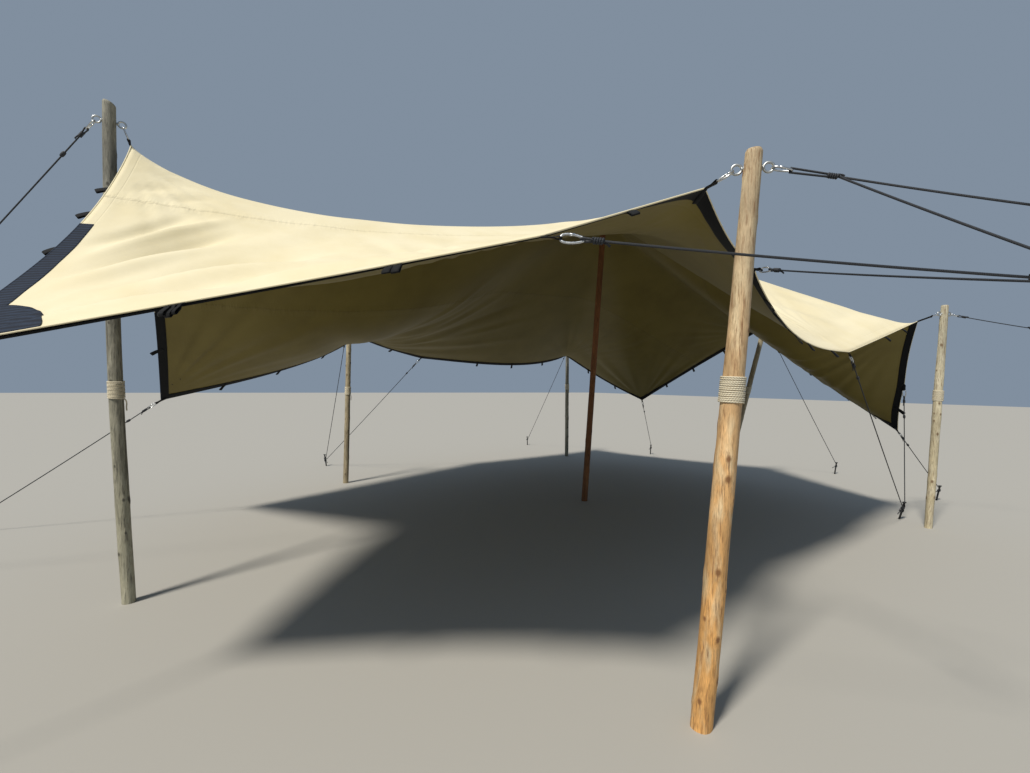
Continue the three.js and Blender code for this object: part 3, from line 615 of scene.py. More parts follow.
def inset_loop(inset, lift):
    """A closed line on the canopy's surface at `inset` metres in from each side, raised by `lift`."""
    cells = EDGE_CELLS
    per_over = [length_over[:, cells] / cells, (length_over[:, -1] - length_over[:, -1 - cells]) / cells]
    per_along = [length_along[cells] / cells, (length_along[-1] - length_along[-1 - cells]) / cells]
    ends_i = [inset / per_along[0][[0, -1]], LAST[0] - inset / per_along[1][[0, -1]]]
    ends_j = [inset / per_over[0][[0, -1]], LAST[1] - inset / per_over[1][[0, -1]]]
    share_i = np.arange(LAST[0]) / LAST[0]
    share_j = np.arange(LAST[1]) / LAST[1]
    front_i = ends_i[0][0] + (ends_i[1][0] - ends_i[0][0]) * share_i
    right_j = ends_j[0][1] + (ends_j[1][1] - ends_j[0][1]) * share_j
    back_i = ends_i[1][1] + (ends_i[0][1] - ends_i[1][1]) * share_i
    left_j = ends_j[1][0] + (ends_j[0][0] - ends_j[1][0]) * share_j
    lines_i, lines_j = np.arange(LAST[0] + 1), np.arange(LAST[1] + 1)
    front_j = inset / np.interp(front_i, lines_i, per_over[0])
    back_j = LAST[1] - inset / np.interp(back_i, lines_i, per_over[1])
    left_i = inset / np.interp(left_j, lines_j, per_along[0])
    right_i = LAST[0] - inset / np.interp(right_j, lines_j, per_along[1])
    i = np.concatenate([front_i, right_i, back_i, left_i])
    j = np.concatenate([front_j, right_j, back_j, left_j])
    return between(sheet_points, i, j) + lift * between(sheet_normals, i, j)


def carried(path, radius, sides, side=(0, 0, 1), round_path=False, runs=None):
    """A round skin along a path: centre + r·(cos a·n + sin a·b), with n = `side` made square to the path
    and b = path direction × n. The radius may change along the path and round it. `runs` gives the path's
    directions where they aren't its own. UVs are metres along and round."""
    path = np.asarray(path, float)
    if runs is not None:
        run = runs
    elif round_path:
        run = np.roll(path, -1, axis=0) - np.roll(path, 1, axis=0)
    else:
        run = np.gradient(path, axis=0)
    run = unit(run)
    n = np.broadcast_to(np.asarray(side, float), path.shape)
    n = unit(n - (n * run).sum(-1, keepdims=True) * run)
    b = np.cross(run, n)
    angle = np.arange(sides) / sides * 2 * math.pi
    angle = np.broadcast_to(angle, (len(path), sides))
    radius = np.asarray(radius, float)
    radius = np.broadcast_to(radius[:, None] if radius.ndim == 1 else radius, (len(path), sides))
    ring = np.cos(angle)[..., None] * n[:, None] + np.sin(angle)[..., None] * b[:, None]
    points = path[:, None] + radius[..., None] * ring
    quads, corners = grid(len(path), sides, round_path, True)
    steps = np.linalg.norm(np.diff(np.vstack([path, path[:1]]), axis=0), axis=1)
    along = np.concatenate([[0], np.cumsum(steps)])
    girth = 2 * math.pi * radius.mean() / sides
    quad_uv = np.stack([along[corners[..., 0]], corners[..., 1] * girth], -1)
    if round_path:
        return shell(points, quads[:, ::-1], quad_uv[:, ::-1])
    first, last = len(path) * sides, len(path) * sides + 1
    turn = np.arange(sides)
    start_fan = np.stack([np.full(sides, first), turn, (turn + 1) % sides], -1)
    tail = (len(path) - 1) * sides
    end_fan = np.stack([np.full(sides, last), tail + (turn + 1) % sides, tail + turn], -1)
    tris = np.concatenate([start_fan, end_fan])
    every = np.vstack([points.reshape(-1, 3), path[:1], path[-1:]])
    flat = np.vstack([(points - path[:, None]).reshape(-1, 3), np.zeros((2, 3))])
    tri_uv = np.stack([(flat[tris] * n[0]).sum(-1), (flat[tris] * b[0]).sum(-1)], -1)
    return shell(every, quads[:, ::-1], quad_uv[:, ::-1], tris[:, ::-1], tri_uv[:, ::-1])


def webbing_material(name, dark, light, rib, depth):
    """Woven webbing: ribs across its length, with a painted sheen in the light colour on their crowns,
    broken into patches.
    """
    material, tree, shader = new_material(name)
    uv = add_node(tree, "TexCoord").outputs["UV"]
    ribs = add_node(tree, "TexWave", {"Vector": uv, "Scale": wave_scale(rib), "Distortion": 0.4})
    sheen_patches = add_node(tree, "TexNoise", {"Vector": uv, "Scale": 24.0, "Detail": 6.0, "Roughness": 0.7})
    worn = add_node(tree, "Math", {0: ribs.outputs["Fac"], 1: sheen_patches.outputs["Fac"]}, operation="MULTIPLY")
    # Painted sheen: the light colour on the ribs' crowns, in patches.
    fade = add_node(tree, "MixRGB", {
        "Fac": worn.outputs[0], "Color1": linear(dark), "Color2": linear(light),
    })
    bump = add_node(tree, "Bump", {"Height": ribs.outputs["Fac"], "Distance": depth, "Strength": 0.7})
    tree.links.new(fade.outputs[0], shader.inputs["Base Color"])
    tree.links.new(bump.outputs[0], shader.inputs["Normal"])
    shader.inputs["Roughness"].default_value = 0.8
    shader.inputs["Sheen Weight"].default_value = 0.02
    shader.inputs["Specular IOR Level"].default_value = 0.25
    return material


# Polypropylene webbing, black, woven: faint cross ribs and a dull bluish shine painted on their crowns.
webbing = webbing_material(
    "woven_polypropylene_webbing", HEM_BLACK, HEM_SHEEN_BLUE, WEBBING_RIB, WEBBING_RELIEF,
)
under_cloth = half + BAND_THICK / 2 + BAND_GAP
turn = np.arange(2 * sum(LAST)) * CLOTH_SIZE[0] / LAST[0]
from_front_left = np.minimum(turn, turn[-1] - turn)
loose = (CURL_LEAST + (1 - CURL_LEAST) * np.exp(-((from_front_left / CURL_REACH) ** 2)))[:, None]
band_lines = [inset_loop(inset, -(under_cloth + curl * loose)) for inset, curl in BAND_PROFILE]
band_points = np.stack(band_lines, 1)
quads, corners = grid(*band_points.shape[:2], round_rows=True)
outer = np.vstack([band_lines[0], band_lines[0][:1]])
around = np.concatenate([[0], np.cumsum(np.linalg.norm(np.diff(outer, axis=0), axis=1))])
band_uv = np.stack([around[corners[..., 0]], np.array(BAND_PROFILE)[corners[..., 1], 0]], -1)
hem_band = make_piece(
    "hem_webbing", shell(band_points, quads, band_uv), ["edge_webbing"], [webbing], BAND_THICK,
)
rolled = inset_loop(0.0, 0.0)
roll = carried(rolled, ROLL_RADIUS, sides=8, round_path=True)
hem_roll = make_piece("hem_roll", roll, (), [knit_face])


# Edge loops. Doubled loops of stiff webbing, 56 to 84 mm long, are sewn under the hem for more ties: as the
# photograph shows them along the front and at the sides, and 0.6 to 1.8 m apart elsewhere.
LOOPS_AT = (
    2.92, 4.17, 4.77, 4.97, 5.26, 5.50, 5.95, 7.47, 7.98, 9.60, 10.26, 10.67, 11.30, 11.95, 13.10,
    13.75, 14.40, 15.70, 16.35, 17.70, 18.50, 19.30, 21.10, 22.40, 23.10, 23.80, 25.20, 25.85, 26.50, 27.80,
    28.10, 28.53, 29.00,
)
# Loops side by side that are rolled up into two bundles: where, and how many times as far they hang.
BUNDLED_AT = ((0.962, 1.4), (0.985, 1.8), (1.008, 1.5), (1.853, 0.9), (1.888, 1.1))
LOOP_WIDTH = 0.034
LOOP_THICK = 0.002
# How long a loop is beside LOOP_SIDE: the shortest and the longest, and a bundled one.
LOOP_LENGTHS = (0.7, 1.05)
BUNDLED_LENGTH = 0.62
# A bundled loop hangs further down from this far out.
LOOP_LIMP = 0.03
LOOP_STEPS = 40
STRIP_COLUMNS = 4
# The edge's directions are read between lines this far in from it, the near one also raised by this much.
PROBE_NEAR = 0.02
PROBE_FAR = 0.05
PROBE_UP = 0.01
LOOP_SIDE = (
    # outward from the edge, and down from the cloth
    (-0.060, 0.0042), (-0.030, 0.0042), (-0.004, 0.0046), (0.018, 0.0060), (0.040, 0.0090), (0.062, 0.0130),
    (0.076, 0.0175), (0.080, 0.0225), (0.074, 0.0250), (0.058, 0.0215), (0.034, 0.0150), (0.012, 0.0100),
    (-0.004, 0.0078), (-0.030, 0.0066), (-0.060, 0.0066),
)


def smooth_path(points, count):
    """A smooth curve through a few points, read at `count` even steps."""
    return curved(np.asarray(points, float), np.linspace(0, len(points) - 1, count))


edge_line = rolled
edge_normal = unit(inset_loop(PROBE_NEAR, PROBE_UP) - inset_loop(PROBE_NEAR, 0.0))
edge_outward = unit(edge_line - inset_loop(PROBE_FAR, 0.0))
edge_outward = unit(edge_outward - (edge_outward * edge_normal).sum(-1, keepdims=True) * edge_normal)
edge_length = np.concatenate([[0], np.cumsum(np.linalg.norm(np.diff(edge_line, axis=0), axis=1))])


def at_edge(field, length):
    """The value of a field along the canopy's edge at a length from the front left corner."""
    return np.array([np.interp(length, edge_length, field[:, k]) for k in range(3)])


flaps = []
chance = np.random.default_rng(8)
hung_loops = [(place, chance.uniform(*LOOP_LENGTHS), 1.0) for place in LOOPS_AT]
hung_loops += [(place, BUNDLED_LENGTH, hang) for place, hang in BUNDLED_AT]
for place, long, hang in hung_loops:
    start = at_edge(edge_line, place)
    out = unit(at_edge(edge_outward, place))
    up = unit(at_edge(edge_normal, place))
    profile = smooth_path(LOOP_SIDE, LOOP_STEPS)
    outside = profile[:, :1] > LOOP_LIMP
    profile = profile * [long, 1] * np.where(outside, [1, hang], 1)
    middle = start + profile[:, :1] * out - profile[:, 1:] * up
    width = np.linspace(-LOOP_WIDTH / 2, LOOP_WIDTH / 2, STRIP_COLUMNS)
    points = middle[:, None] + width[None, :, None] * np.cross(up, out)
    run = np.concatenate([[0], np.cumsum(np.linalg.norm(np.diff(middle, axis=0), axis=1))])
    flaps.append(sheet_shell(points, np.stack(np.broadcast_arrays(run[:, None], width[None, :]), -1)))
make_piece("hem_loops", joined(flaps), (), [webbing], LOOP_THICK)


# Corner patches. Each corner is stiffened by a band of ribbed black fabric sewn on top along the short
# edge, with a foot that tapers away along the long edge. The same fabric binds the short edge itself.
PATCH_RISE = 1.26
PATCH_WIDTHS = (0.150, 0.075)
FOOT = (0.43, 0.33)       # along the long edge, and up the short one: a quarter of an ellipse
PATCH_THICK = 0.002
PATCH_INSET = 0.003
PATCH_GAP = 0.0009
FOOT_LEAST = 0.004
FOOT_GAP = 0.0004
# Points over each skin: across the band and along it, and along the foot and over it.
BAND_GRID = (14, 90)
FOOT_GRID = (34, 12)
BINDING_STEPS = 60
BINDING_RADIUS = 0.0052
CORD_GAP = 0.02764
CORD_RELIEF = 0.002
# Both colours carry a painted bluish sky reflection; the second is the painted sheen on the cords' tops.
RIBBED_DARK = "#151C29"
RIBBED_SHEEN = "#2F3E54"
CORNERS = {
    "front_left": (False, False), "front_right": (True, False),
    "back_right": (True, True), "back_left": (False, True),
}


def from_corner(right, back, along, over):
    """The net place `along` metres from a corner on its long side and `over` metres on its short one."""
    line_j, line_i = (-1 if back else 0), (-1 if right else 0)
    lengths_i, lengths_j = length_along[:, line_j], length_over[line_i]
    if right:
        lengths_i = lengths_i[-1] - lengths_i[::-1]
    if back:
        lengths_j = lengths_j[-1] - lengths_j[::-1]
    i = np.interp(along, lengths_i, np.arange(LAST[0] + 1))
    j = np.interp(over, lengths_j, np.arange(LAST[1] + 1))
    return (LAST[0] - i if right else i), (LAST[1] - j if back else j)


def on_cloth(i, j, lift, uv, flip):
    """A skin on the canopy at a grid of net places, raised by `lift`, facing up."""
    points = between(sheet_points, i, j) + lift * between(sheet_normals, i, j)
    skin = sheet_shell(points, uv)
    if flip:
        skin["quads"], skin["quad_uv"] = skin["quads"][:, ::-1], skin["quad_uv"][:, ::-1]
    return skin


# Ribbed reinforcing fabric, black with a painted bluish sky reflection: raised cords 28 mm apart that catch
# the light along their tops, painted lighter there.
ribbed = webbing_material("ribbed_reinforcing_fabric", RIBBED_DARK, RIBBED_SHEEN, CORD_GAP, CORD_RELIEF)
above = half + PATCH_THICK / 2 + PATCH_GAP
for corner_name, (is_right, is_back) in CORNERS.items():
    shares, rises = np.linspace(0, 1, BAND_GRID[0]), np.linspace(PATCH_INSET, PATCH_RISE, BAND_GRID[1])
    share, rise = np.meshgrid(shares, rises, indexing="ij")
    wide = PATCH_INSET + share * (np.interp(rise, (0, PATCH_RISE), PATCH_WIDTHS) - PATCH_INSET)
    i, j = from_corner(is_right, is_back, wide, rise)
    band = on_cloth(i, j, above, np.stack([rise, wide], -1), is_right != is_back)
    reach = FOOT[0] * np.sin(np.linspace(0.01, math.pi / 2, FOOT_GRID[0]))
    taper = FOOT[1] * np.sqrt(1 - (reach / FOOT[0]) ** 2) + FOOT_LEAST
    along = np.broadcast_to(reach[:, None], FOOT_GRID)
    over = PATCH_INSET + np.linspace(0, 1, FOOT_GRID[1])[None, :] * (taper[:, None] - PATCH_INSET)
    i, j = from_corner(is_right, is_back, along, over)
    over_band = above + PATCH_THICK + FOOT_GAP
    foot = on_cloth(i, j, over_band, np.stack([over, along], -1), is_right != is_back)
    make_piece(
        f"{corner_name}_patch", joined([band, foot]),
        [f"corner_patch_{corner_name}"], [ribbed], PATCH_THICK,
    )
    rises = np.linspace(0.001, PATCH_RISE, BINDING_STEPS)
    i, j = from_corner(is_right, is_back, np.zeros(BINDING_STEPS), rises)
    bound = carried(between(sheet_points, i, j), BINDING_RADIUS, sides=10)
    make_piece(f"{corner_name}_binding", bound, (), [ribbed])


# Centre mast. A stained round log that leans a little under the pull of the cloth, sawn level at its foot,
# with a black painted steel cap that spreads the load.
MAST_RADII = (0.042, 0.037, 0)
MAST_LENGTH = 3.7744
LOG_SIDES = 64
# Waves that make a log out of round: how many round it, their share of its radius, and how fast they turn.
ROUGHNESS = (
    (1, 0.030, 4.3), (2, 0.030, 1.1), (1, 0.022, 8.9), (3, 0.018, 1.9), (2, 0.014, 13.0), (5, 0.010, 3.1),
    (9, 0.006, 5.3),
)
WAVE_SWAY = 0.8          # how far the waves swing to and fro round the log as it rises, in radians
KNOT_SIZES = (0.009, 0.018)
KNOT_MARGIN = 0.1        # no knot is nearer to an end
KNOT_SHAPE = 0.7         # a knot's width as a share of its height
# A knot swells the log and dips in its middle: by how much, and over how many times the knot's size.
KNOT_SWELL = (0.0035, 1.5)
KNOT_DIP = (0.002, 0.5)
CHECKS = 5
CHECK_START = 0.7        # the highest place where a check starts, as a share of the log's height
CHECK_LENGTHS = (0.35, 1.1)
CHECK_WANDER = (0.12, 2.2)
CHECK_EASE = 0.12
CHECK_HALF_WIDE = 0.0032
CHECK_DEPTH = 0.0045
CHAMFER = (0.008, 0.005)    # down the log's head, and in from its side
SLANT_REACH = 0.1
GROWTH_RING = 0.00888
# How much the streaks, and the patches, are squeezed along the log in their noise, which draws them out.
STREAK_SQUEEZE = 0.09
PATCH_SQUEEZE = 0.28
MAST_BROWN = "#82532D"
MAST_PALE = "#9F6F42"
MAST_DARK = "#553419"
PAINT_BLACK = "#141416"
PAINT_SCUFFED = "#3A342E"


def thickness(radii, share):
    """A log's radius at a share of its length: foot + (head - foot)·share + swell·sin(pi·share)."""
    foot, head, swell = radii
    return foot + (head - foot) * share + swell * np.sin(math.pi * share)


def log_skin(foot, head, height, bow, radii, seed, rows, knots, slant=0):
    """A round log of level rings: radius·(1 + out-of-round) + knots - checks, about an axis bent by
    bow·sin(pi·h/H). Out-of-round is a few low sine waves, a knot is a Gaussian swell with a dip in it,
    and a check is a narrow lengthwise groove. A slant lowers the right side of the head."""
    chance = np.random.default_rng(seed)
    angles = np.arange(LOG_SIDES) / LOG_SIDES * 2 * math.pi
    h, a = np.meshgrid(np.linspace(0, height, rows), angles, indexing="ij")
    radius = thickness(radii, h / height)
    girth = radius.copy()
    for lobes, share, pace in ROUGHNESS:
        start, drift = chance.uniform(0, 2 * math.pi, 2)
        girth += radius * share * np.cos(lobes * a + start + WAVE_SWAY * np.sin(pace * h + drift))
    knot, check = np.zeros_like(h), np.zeros_like(h)
    for _ in range(knots):
        at_h = chance.uniform(KNOT_MARGIN, height - KNOT_MARGIN)
        at_a = chance.uniform(0, 2 * math.pi)
        size = chance.uniform(*KNOT_SIZES)
        round_by = radius * ((a - at_a + math.pi) % (2 * math.pi) - math.pi)
        off = np.hypot(round_by, (h - at_h) * KNOT_SHAPE) / size
        knot += np.exp(-off**2)
        girth += KNOT_SWELL[0] * np.exp(-((off / KNOT_SWELL[1]) ** 2))
        girth -= KNOT_DIP[0] * np.exp(-((off / KNOT_DIP[1]) ** 2))
    for _ in range(CHECKS):
        low, length = chance.uniform(0, height * CHECK_START), chance.uniform(*CHECK_LENGTHS)
        swing, pace = CHECK_WANDER
        at_a = chance.uniform(0, 2 * math.pi) + swing * np.sin(pace * h + chance.uniform(0, 6))
        round_by = radius * ((a - at_a + math.pi) % (2 * math.pi) - math.pi)
        open_by = np.clip(np.minimum(h - low, low + length - h) / CHECK_EASE, 0, 1)
        check += open_by * np.exp(-((round_by / CHECK_HALF_WIDE) ** 2))
    girth -= CHECK_DEPTH * np.clip(check, 0, 1)
    girth -= CHAMFER[1] * np.clip((h - (height - CHAMFER[0])) / CHAMFER[0], 0, 1)
    bend = np.sin(math.pi * h / height)
    x = foot[0] + (head[0] - foot[0]) * h / height + bow[0] * bend + girth * np.cos(a)
    y = foot[1] + (head[1] - foot[1]) * h / height + bow[1] * bend + girth * np.sin(a)
    near_head = np.clip((h - (height - SLANT_REACH)) / SLANT_REACH, 0, 1)
    points = np.stack([x, y, h - slant * near_head * (1 + np.cos(a)) / 2], -1)
    quads, corners = grid(rows, LOG_SIDES, False, True)
    round_uv = corners[..., 1] / LOG_SIDES * 2 * math.pi * radii[0]
    uv = np.stack([round_uv, corners[..., 0] * height / (rows - 1)], -1)
    ends = np.concatenate([points[0], points[-1], points[:1].mean(1), points[-1:].mean(1)])
    turn = np.arange(LOG_SIDES)
    onward = (turn + 1) % LOG_SIDES
    foot_ring, head_ring, hubs = (rows + np.arange(3)) * LOG_SIDES
    low_fan = np.stack([np.full(LOG_SIDES, hubs), foot_ring + onward, foot_ring + turn], -1)
    top_fan = np.stack([np.full(LOG_SIDES, hubs + 1), head_ring + turn, head_ring + onward], -1)
    every = np.vstack([points.reshape(-1, 3), ends])
    tris = np.concatenate([low_fan, top_fan])
    middle = np.array([foot[:2], head[:2]])[(every[tris[:, 0], 2] > height / 2).astype(int)]
    skin = shell(every, quads[:, ::-1], uv[:, ::-1], tris, every[tris][..., :2] - middle[:, None])
    flat_ends = np.zeros(2 * LOG_SIDES + 2)
    marks = {
        "knot": np.concatenate([knot.ravel(), flat_ends]),
        "check": np.concatenate([check.ravel(), flat_ends]),
        "sawn": np.concatenate([np.zeros(knot.size), flat_ends + 1]),
    }
    return skin, marks


def mark(made, marks):
    """Writes a value for each point of a piece, which its material reads."""
    for name, values in marks.items():
        field = made.data.attributes.new(name, "FLOAT", "POINT")
        field.data.foreach_set("value", values.astype(np.float32))


def log_material(name, low, high, pale, dark, patchy, seed):
    """Peeled softwood: a tint that shifts from foot to head, fine grain and streaks drawn out eleven times
    along the log, pale patches where the inner bark came away, dark knots, checks darkened with painted
    shade in their grooves, and growth rings on the sawn ends."""
    material, tree, shader = new_material(name)
    place = add_node(tree, "TexCoord").outputs["Object"]
    moved = add_node(tree, "Mapping", {
        "Vector": place, "Location": (seed, 0.7 * seed, 0), "Scale": (1, 1, STREAK_SQUEEZE),
    })
    streak = add_node(tree, "TexNoise", {
        "Vector": moved.outputs[0], "Scale": 105.0, "Detail": 8.0, "Roughness": 0.68,
    })
    grain = add_node(tree, "TexNoise", {"Vector": moved.outputs[0], "Scale": 340.0, "Detail": 3.0})
    wide = add_node(tree, "Mapping", {
        "Vector": place, "Location": (0, seed, seed), "Scale": (1, 1, PATCH_SQUEEZE),
    })
    patch = add_node(tree, "TexNoise", {
        "Vector": wide.outputs[0], "Scale": 15.0, "Detail": 5.0, "Distortion": 0.5,
    })
    bare = add_node(tree, "MapRange", {
        "Value": patch.outputs["Fac"], "From Min": 0.52 - patchy, "From Max": 0.78 - patchy,
    })
    line = add_node(tree, "MapRange", {
        "Value": streak.outputs["Fac"], "From Min": 0.50, "From Max": 0.66, "To Max": 0.85,
    })
    level = add_node(tree, "SeparateXYZ", {"Vector": place}).outputs["Z"]
    risen = add_node(tree, "MapRange", {"Value": level, "From Min": 0.6, "From Max": 2.2})
    body = add_node(tree, "MixRGB", {"Fac": risen.outputs[0], "Color1": linear(low), "Color2": linear(high)})
    tint = add_node(tree, "MixRGB", {
        "Fac": bare.outputs[0], "Color1": body.outputs[0], "Color2": linear(pale),
    })
    fine = add_node(tree, "MapRange", {
        "Value": grain.outputs["Fac"], "From Min": 0.3, "From Max": 0.7, "To Min": 0.76, "To Max": 1.12,
    })
    stain = add_node(tree, "TexNoise", {
        "Vector": wide.outputs[0], "Scale": 5.0, "Detail": 4.0, "Roughness": 0.65,
    })
    stained = add_node(tree, "MapRange", {
        "Value": stain.outputs["Fac"], "From Min": 0.38, "From Max": 0.60, "To Min": 0.66, "To Max": 1.10,
    })
    uneven = add_node(tree, "Math", {0: fine.outputs[0], 1: stained.outputs[0]}, operation="MULTIPLY")
    shade = add_node(tree, "MixRGB", {
        "Fac": 1.0, "Color1": tint.outputs[0], "Color2": uneven.outputs[0],
    }, blend_type="MULTIPLY")
    lined = add_node(tree, "MixRGB", {
        "Fac": line.outputs[0], "Color1": shade.outputs[0], "Color2": linear(dark),
    })
    knots = add_node(tree, "Attribute", attribute_name="knot")
    # The knots are darker wood; the checks' darkening is painted shade in their grooves.
    check_shade = add_node(tree, "Attribute", attribute_name="check")
    knots_and_check_shade = add_node(tree, "Math", {0: knots.outputs["Fac"], 1: check_shade.outputs["Fac"]}, operation="MAXIMUM")
    spotted = add_node(tree, "MapRange", {
        "Value": knots_and_check_shade.outputs[0], "From Min": 0.30, "From Max": 0.80, "To Max": 0.9,
    })
    knotted = add_node(tree, "MixRGB", {
        "Fac": spotted.outputs[0], "Color1": lined.outputs[0], "Color2": linear(dark),
    })
    ring_place = add_node(tree, "TexCoord").outputs["UV"]
    rings = add_node(tree, "TexWave", {
        "Vector": ring_place, "Scale": wave_scale(GROWTH_RING), "Distortion": 1.5, "Detail Scale": 0.6,
    }, wave_type="RINGS", rings_direction="Z")
    ringed = add_node(tree, "MixRGB", {
        "Fac": rings.outputs["Fac"], "Color1": linear(pale), "Color2": linear(low),
    })
    sawn = add_node(tree, "Attribute", attribute_name="sawn")
    colour = add_node(tree, "MixRGB", {
        "Fac": sawn.outputs["Fac"], "Color1": knotted.outputs[0], "Color2": ringed.outputs[0],
    })
    first = add_node(tree, "Bump", {"Height": streak.outputs["Fac"], "Distance": 0.004, "Strength": 0.8})
    second = add_node(tree, "Bump", {
        "Height": bare.outputs[0], "Distance": 0.0012, "Strength": 0.6, "Normal": first.outputs[0],
    })
    tree.links.new(colour.outputs[0], shader.inputs["Base Color"])
    tree.links.new(second.outputs[0], shader.inputs["Normal"])
    shader.inputs["Roughness"].default_value = 0.72
    return material


# Stained pine: a warm red-brown wash over straight grain, rubbed paler in patches.
mast_tints = (MAST_BROWN, MAST_BROWN, MAST_PALE, MAST_DARK)
stained_pine = log_material("stained_pine", *mast_tints, patchy=0.0, seed=3.0)
mast_top = [MAST_HEAD[k] * MAST_LENGTH / PEAK_HEIGHT for k in (0, 1)]
skin, marks = log_skin((0, 0), mast_top, MAST_LENGTH, (0, 0), MAST_RADII, seed=11, rows=200, knots=10)
mast = make_piece("mast_log", skin, ["centre_mast"], [stained_pine])
mark(mast, marks)

# Painted steel, black: a thin even coat with a slight orange-peel, dulled by handling.
black_steel, tree, shader = new_material("black_painted_steel")
place = add_node(tree, "TexCoord").outputs["Object"]
peel = add_node(tree, "TexNoise", {"Vector": place, "Scale": 420.0, "Detail": 2.0})
scuff = add_node(tree, "TexNoise", {"Vector": place, "Scale": 60.0, "Detail": 6.0, "Roughness": 0.7})
worn = add_node(tree, "MapRange", {"Value": scuff.outputs["Fac"], "From Min": 0.58, "From Max": 0.75})
paint = add_node(tree, "MixRGB", {
    "Fac": worn.outputs[0], "Color1": linear(PAINT_BLACK), "Color2": linear(PAINT_SCUFFED),
})
bump = add_node(tree, "Bump", {"Height": peel.outputs["Fac"], "Distance": 0.0004, "Strength": 0.4})
tree.links.new(paint.outputs[0], shader.inputs["Base Color"])
tree.links.new(bump.outputs[0], shader.inputs["Normal"])
shader.inputs["Roughness"].default_value = 0.5
shader.inputs["Metallic"].default_value = 0.0
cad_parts["mast_cap"].data.materials.clear()
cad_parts["mast_cap"].data.materials.append(black_steel)


# Edge poles. Six peeled softwood logs lean outward against the pull of the cloth. They are sawn off level at
# the foot and chamfered at the head, and the tall left one has grown with a bow.
POLES = [
    # name, foot, head, length, bow,
    # radius at the foot, at the head and swell between, height of the bolt, lower end of the lashing, look
    ("front_pole", (-2.578, -3.422), (-2.433, -3.548), 2.66, (0, 0),
     (0.050, 0.037, 0.006), 2.575, 1.50, "front"),
    ("left_pole", (-4.797, -0.386), (-4.929, -0.337), 3.49, (-0.027, 0.019),
     (0.040, 0.038, 0.002), 3.345, 1.43, "grey"),
    ("right_pole", (2.425, -3.062), (2.538, -3.142), 2.53, (0, 0),
     (0.038, 0.035, 0.006), 2.43, 1.44, "pale"),
    ("back_left_pole", (-2.337, 2.835), (-2.292, 2.902), 2.50, (0, 0),
     (0.040, 0.036, 0), 2.40, 1.36, "tan"),
    ("back_right_pole", (2.505, 3.124), (2.505, 3.150), 2.50, (0, 0),
     (0.040, 0.036, 0), 2.40, 1.45, "grey"),
    ("end_pole", (2.953, -0.291), (3.500, -0.640), 2.62, (0, 0),
     (0.042, 0.038, 0), 2.55, 1.45, "tan"),
]
WOODS = {
    # body at the foot and at the head, pale patches, dark streaks, and how much of the log is patchy
    "front": ("#ECB36C", "#CBB490", "#E6D3AC", "#7B5330", 0.03),
    "grey": ("#A9A58F", "#918F83", "#C2BEAA", "#48453C", 0.0),
    "tan": ("#AFA183", "#A79C80", "#CABF9F", "#62523E", 0.01),
    "pale": ("#C4B898", "#C1BAA2", "#DDD5BD", "#6E573F", 0.02),
}
LOG_ROW = 0.011
KNOTS = 22
# The left pole's head is sawn at a slant, this much lower on its right side.
LEFT_HEAD_SLANT = 0.024

woods = {
    name: log_material(f"peeled_pine_{name}", *look, seed=1.7 * k)
    for k, (name, look) in enumerate(WOODS.items(), 1)
}
for number, (name, foot, head, length, bow, radii, *_, look) in enumerate(POLES):
    slant = LEFT_HEAD_SLANT if name == "left_pole" else 0
    skin, marks = log_skin(foot, head, length, bow, radii, 20 + number, int(length / LOG_ROW), KNOTS, slant)
    made = make_piece(f"{name}_log", skin, [name], [woods[look]])
    mark(made, marks)


# Lashings. A length of three-strand sisal rope is wound thirteen times round each pole at shoulder height,
# from the top down, and its end is left hanging.
STRANDS = 3
STRAND_DEPTH = 0.13
SISAL_RADIUS = 0.0043
LASHING_TURNS = 13
LASHING_HEIGHT = 0.130
LASHING_START = math.radians(-20)
LASHING_GAP = 0.0004
# The turns wander up and down: by how much, and how fast.
WANDER = ((0.0007, 2.3), (0.0005, 7.1))
SISAL_LAY = 0.034
SISAL_STEP = 0.006
SISAL_SIDES = 9
# The hanging end: how far on, and down.
TAIL = ((0.0, 0.0), (0.012, -0.012), (0.020, -0.034), (0.018, -0.060), (0.021, -0.085))
TAIL_OUT = 0.3
TAIL_STEPS = 16
SISAL_LIGHT = "#E6DEC8"
SISAL_DARK = "#AFA386"


def pole_axis(pole, h):
    """Places on a pole's axis at heights h, and its radius there."""
    _, foot, head, length, bow, radii, *_ = pole
    share = np.asarray(h, float) / length
    bend = np.sin(math.pi * share)
    x = foot[0] + (head[0] - foot[0]) * share + bow[0] * bend
    y = foot[1] + (head[1] - foot[1]) * share + bow[1] * bend
    return np.stack([x, y, share * length], -1), thickness(radii, share)


def strands(path, radius, lay, sides):
    """Twisted rope's radius for each ring and side: r·(1 + depth·cos(strands·(angle - 2·pi·run/lay)))."""
    run = np.concatenate([[0], np.cumsum(np.linalg.norm(np.diff(path, axis=0), axis=1))])
    angle = np.arange(sides) / sides * 2 * math.pi
    twist = angle[None, :] - 2 * math.pi * run[:, None] / lay
    return radius * (1 + STRAND_DEPTH * np.cos(STRANDS * twist))


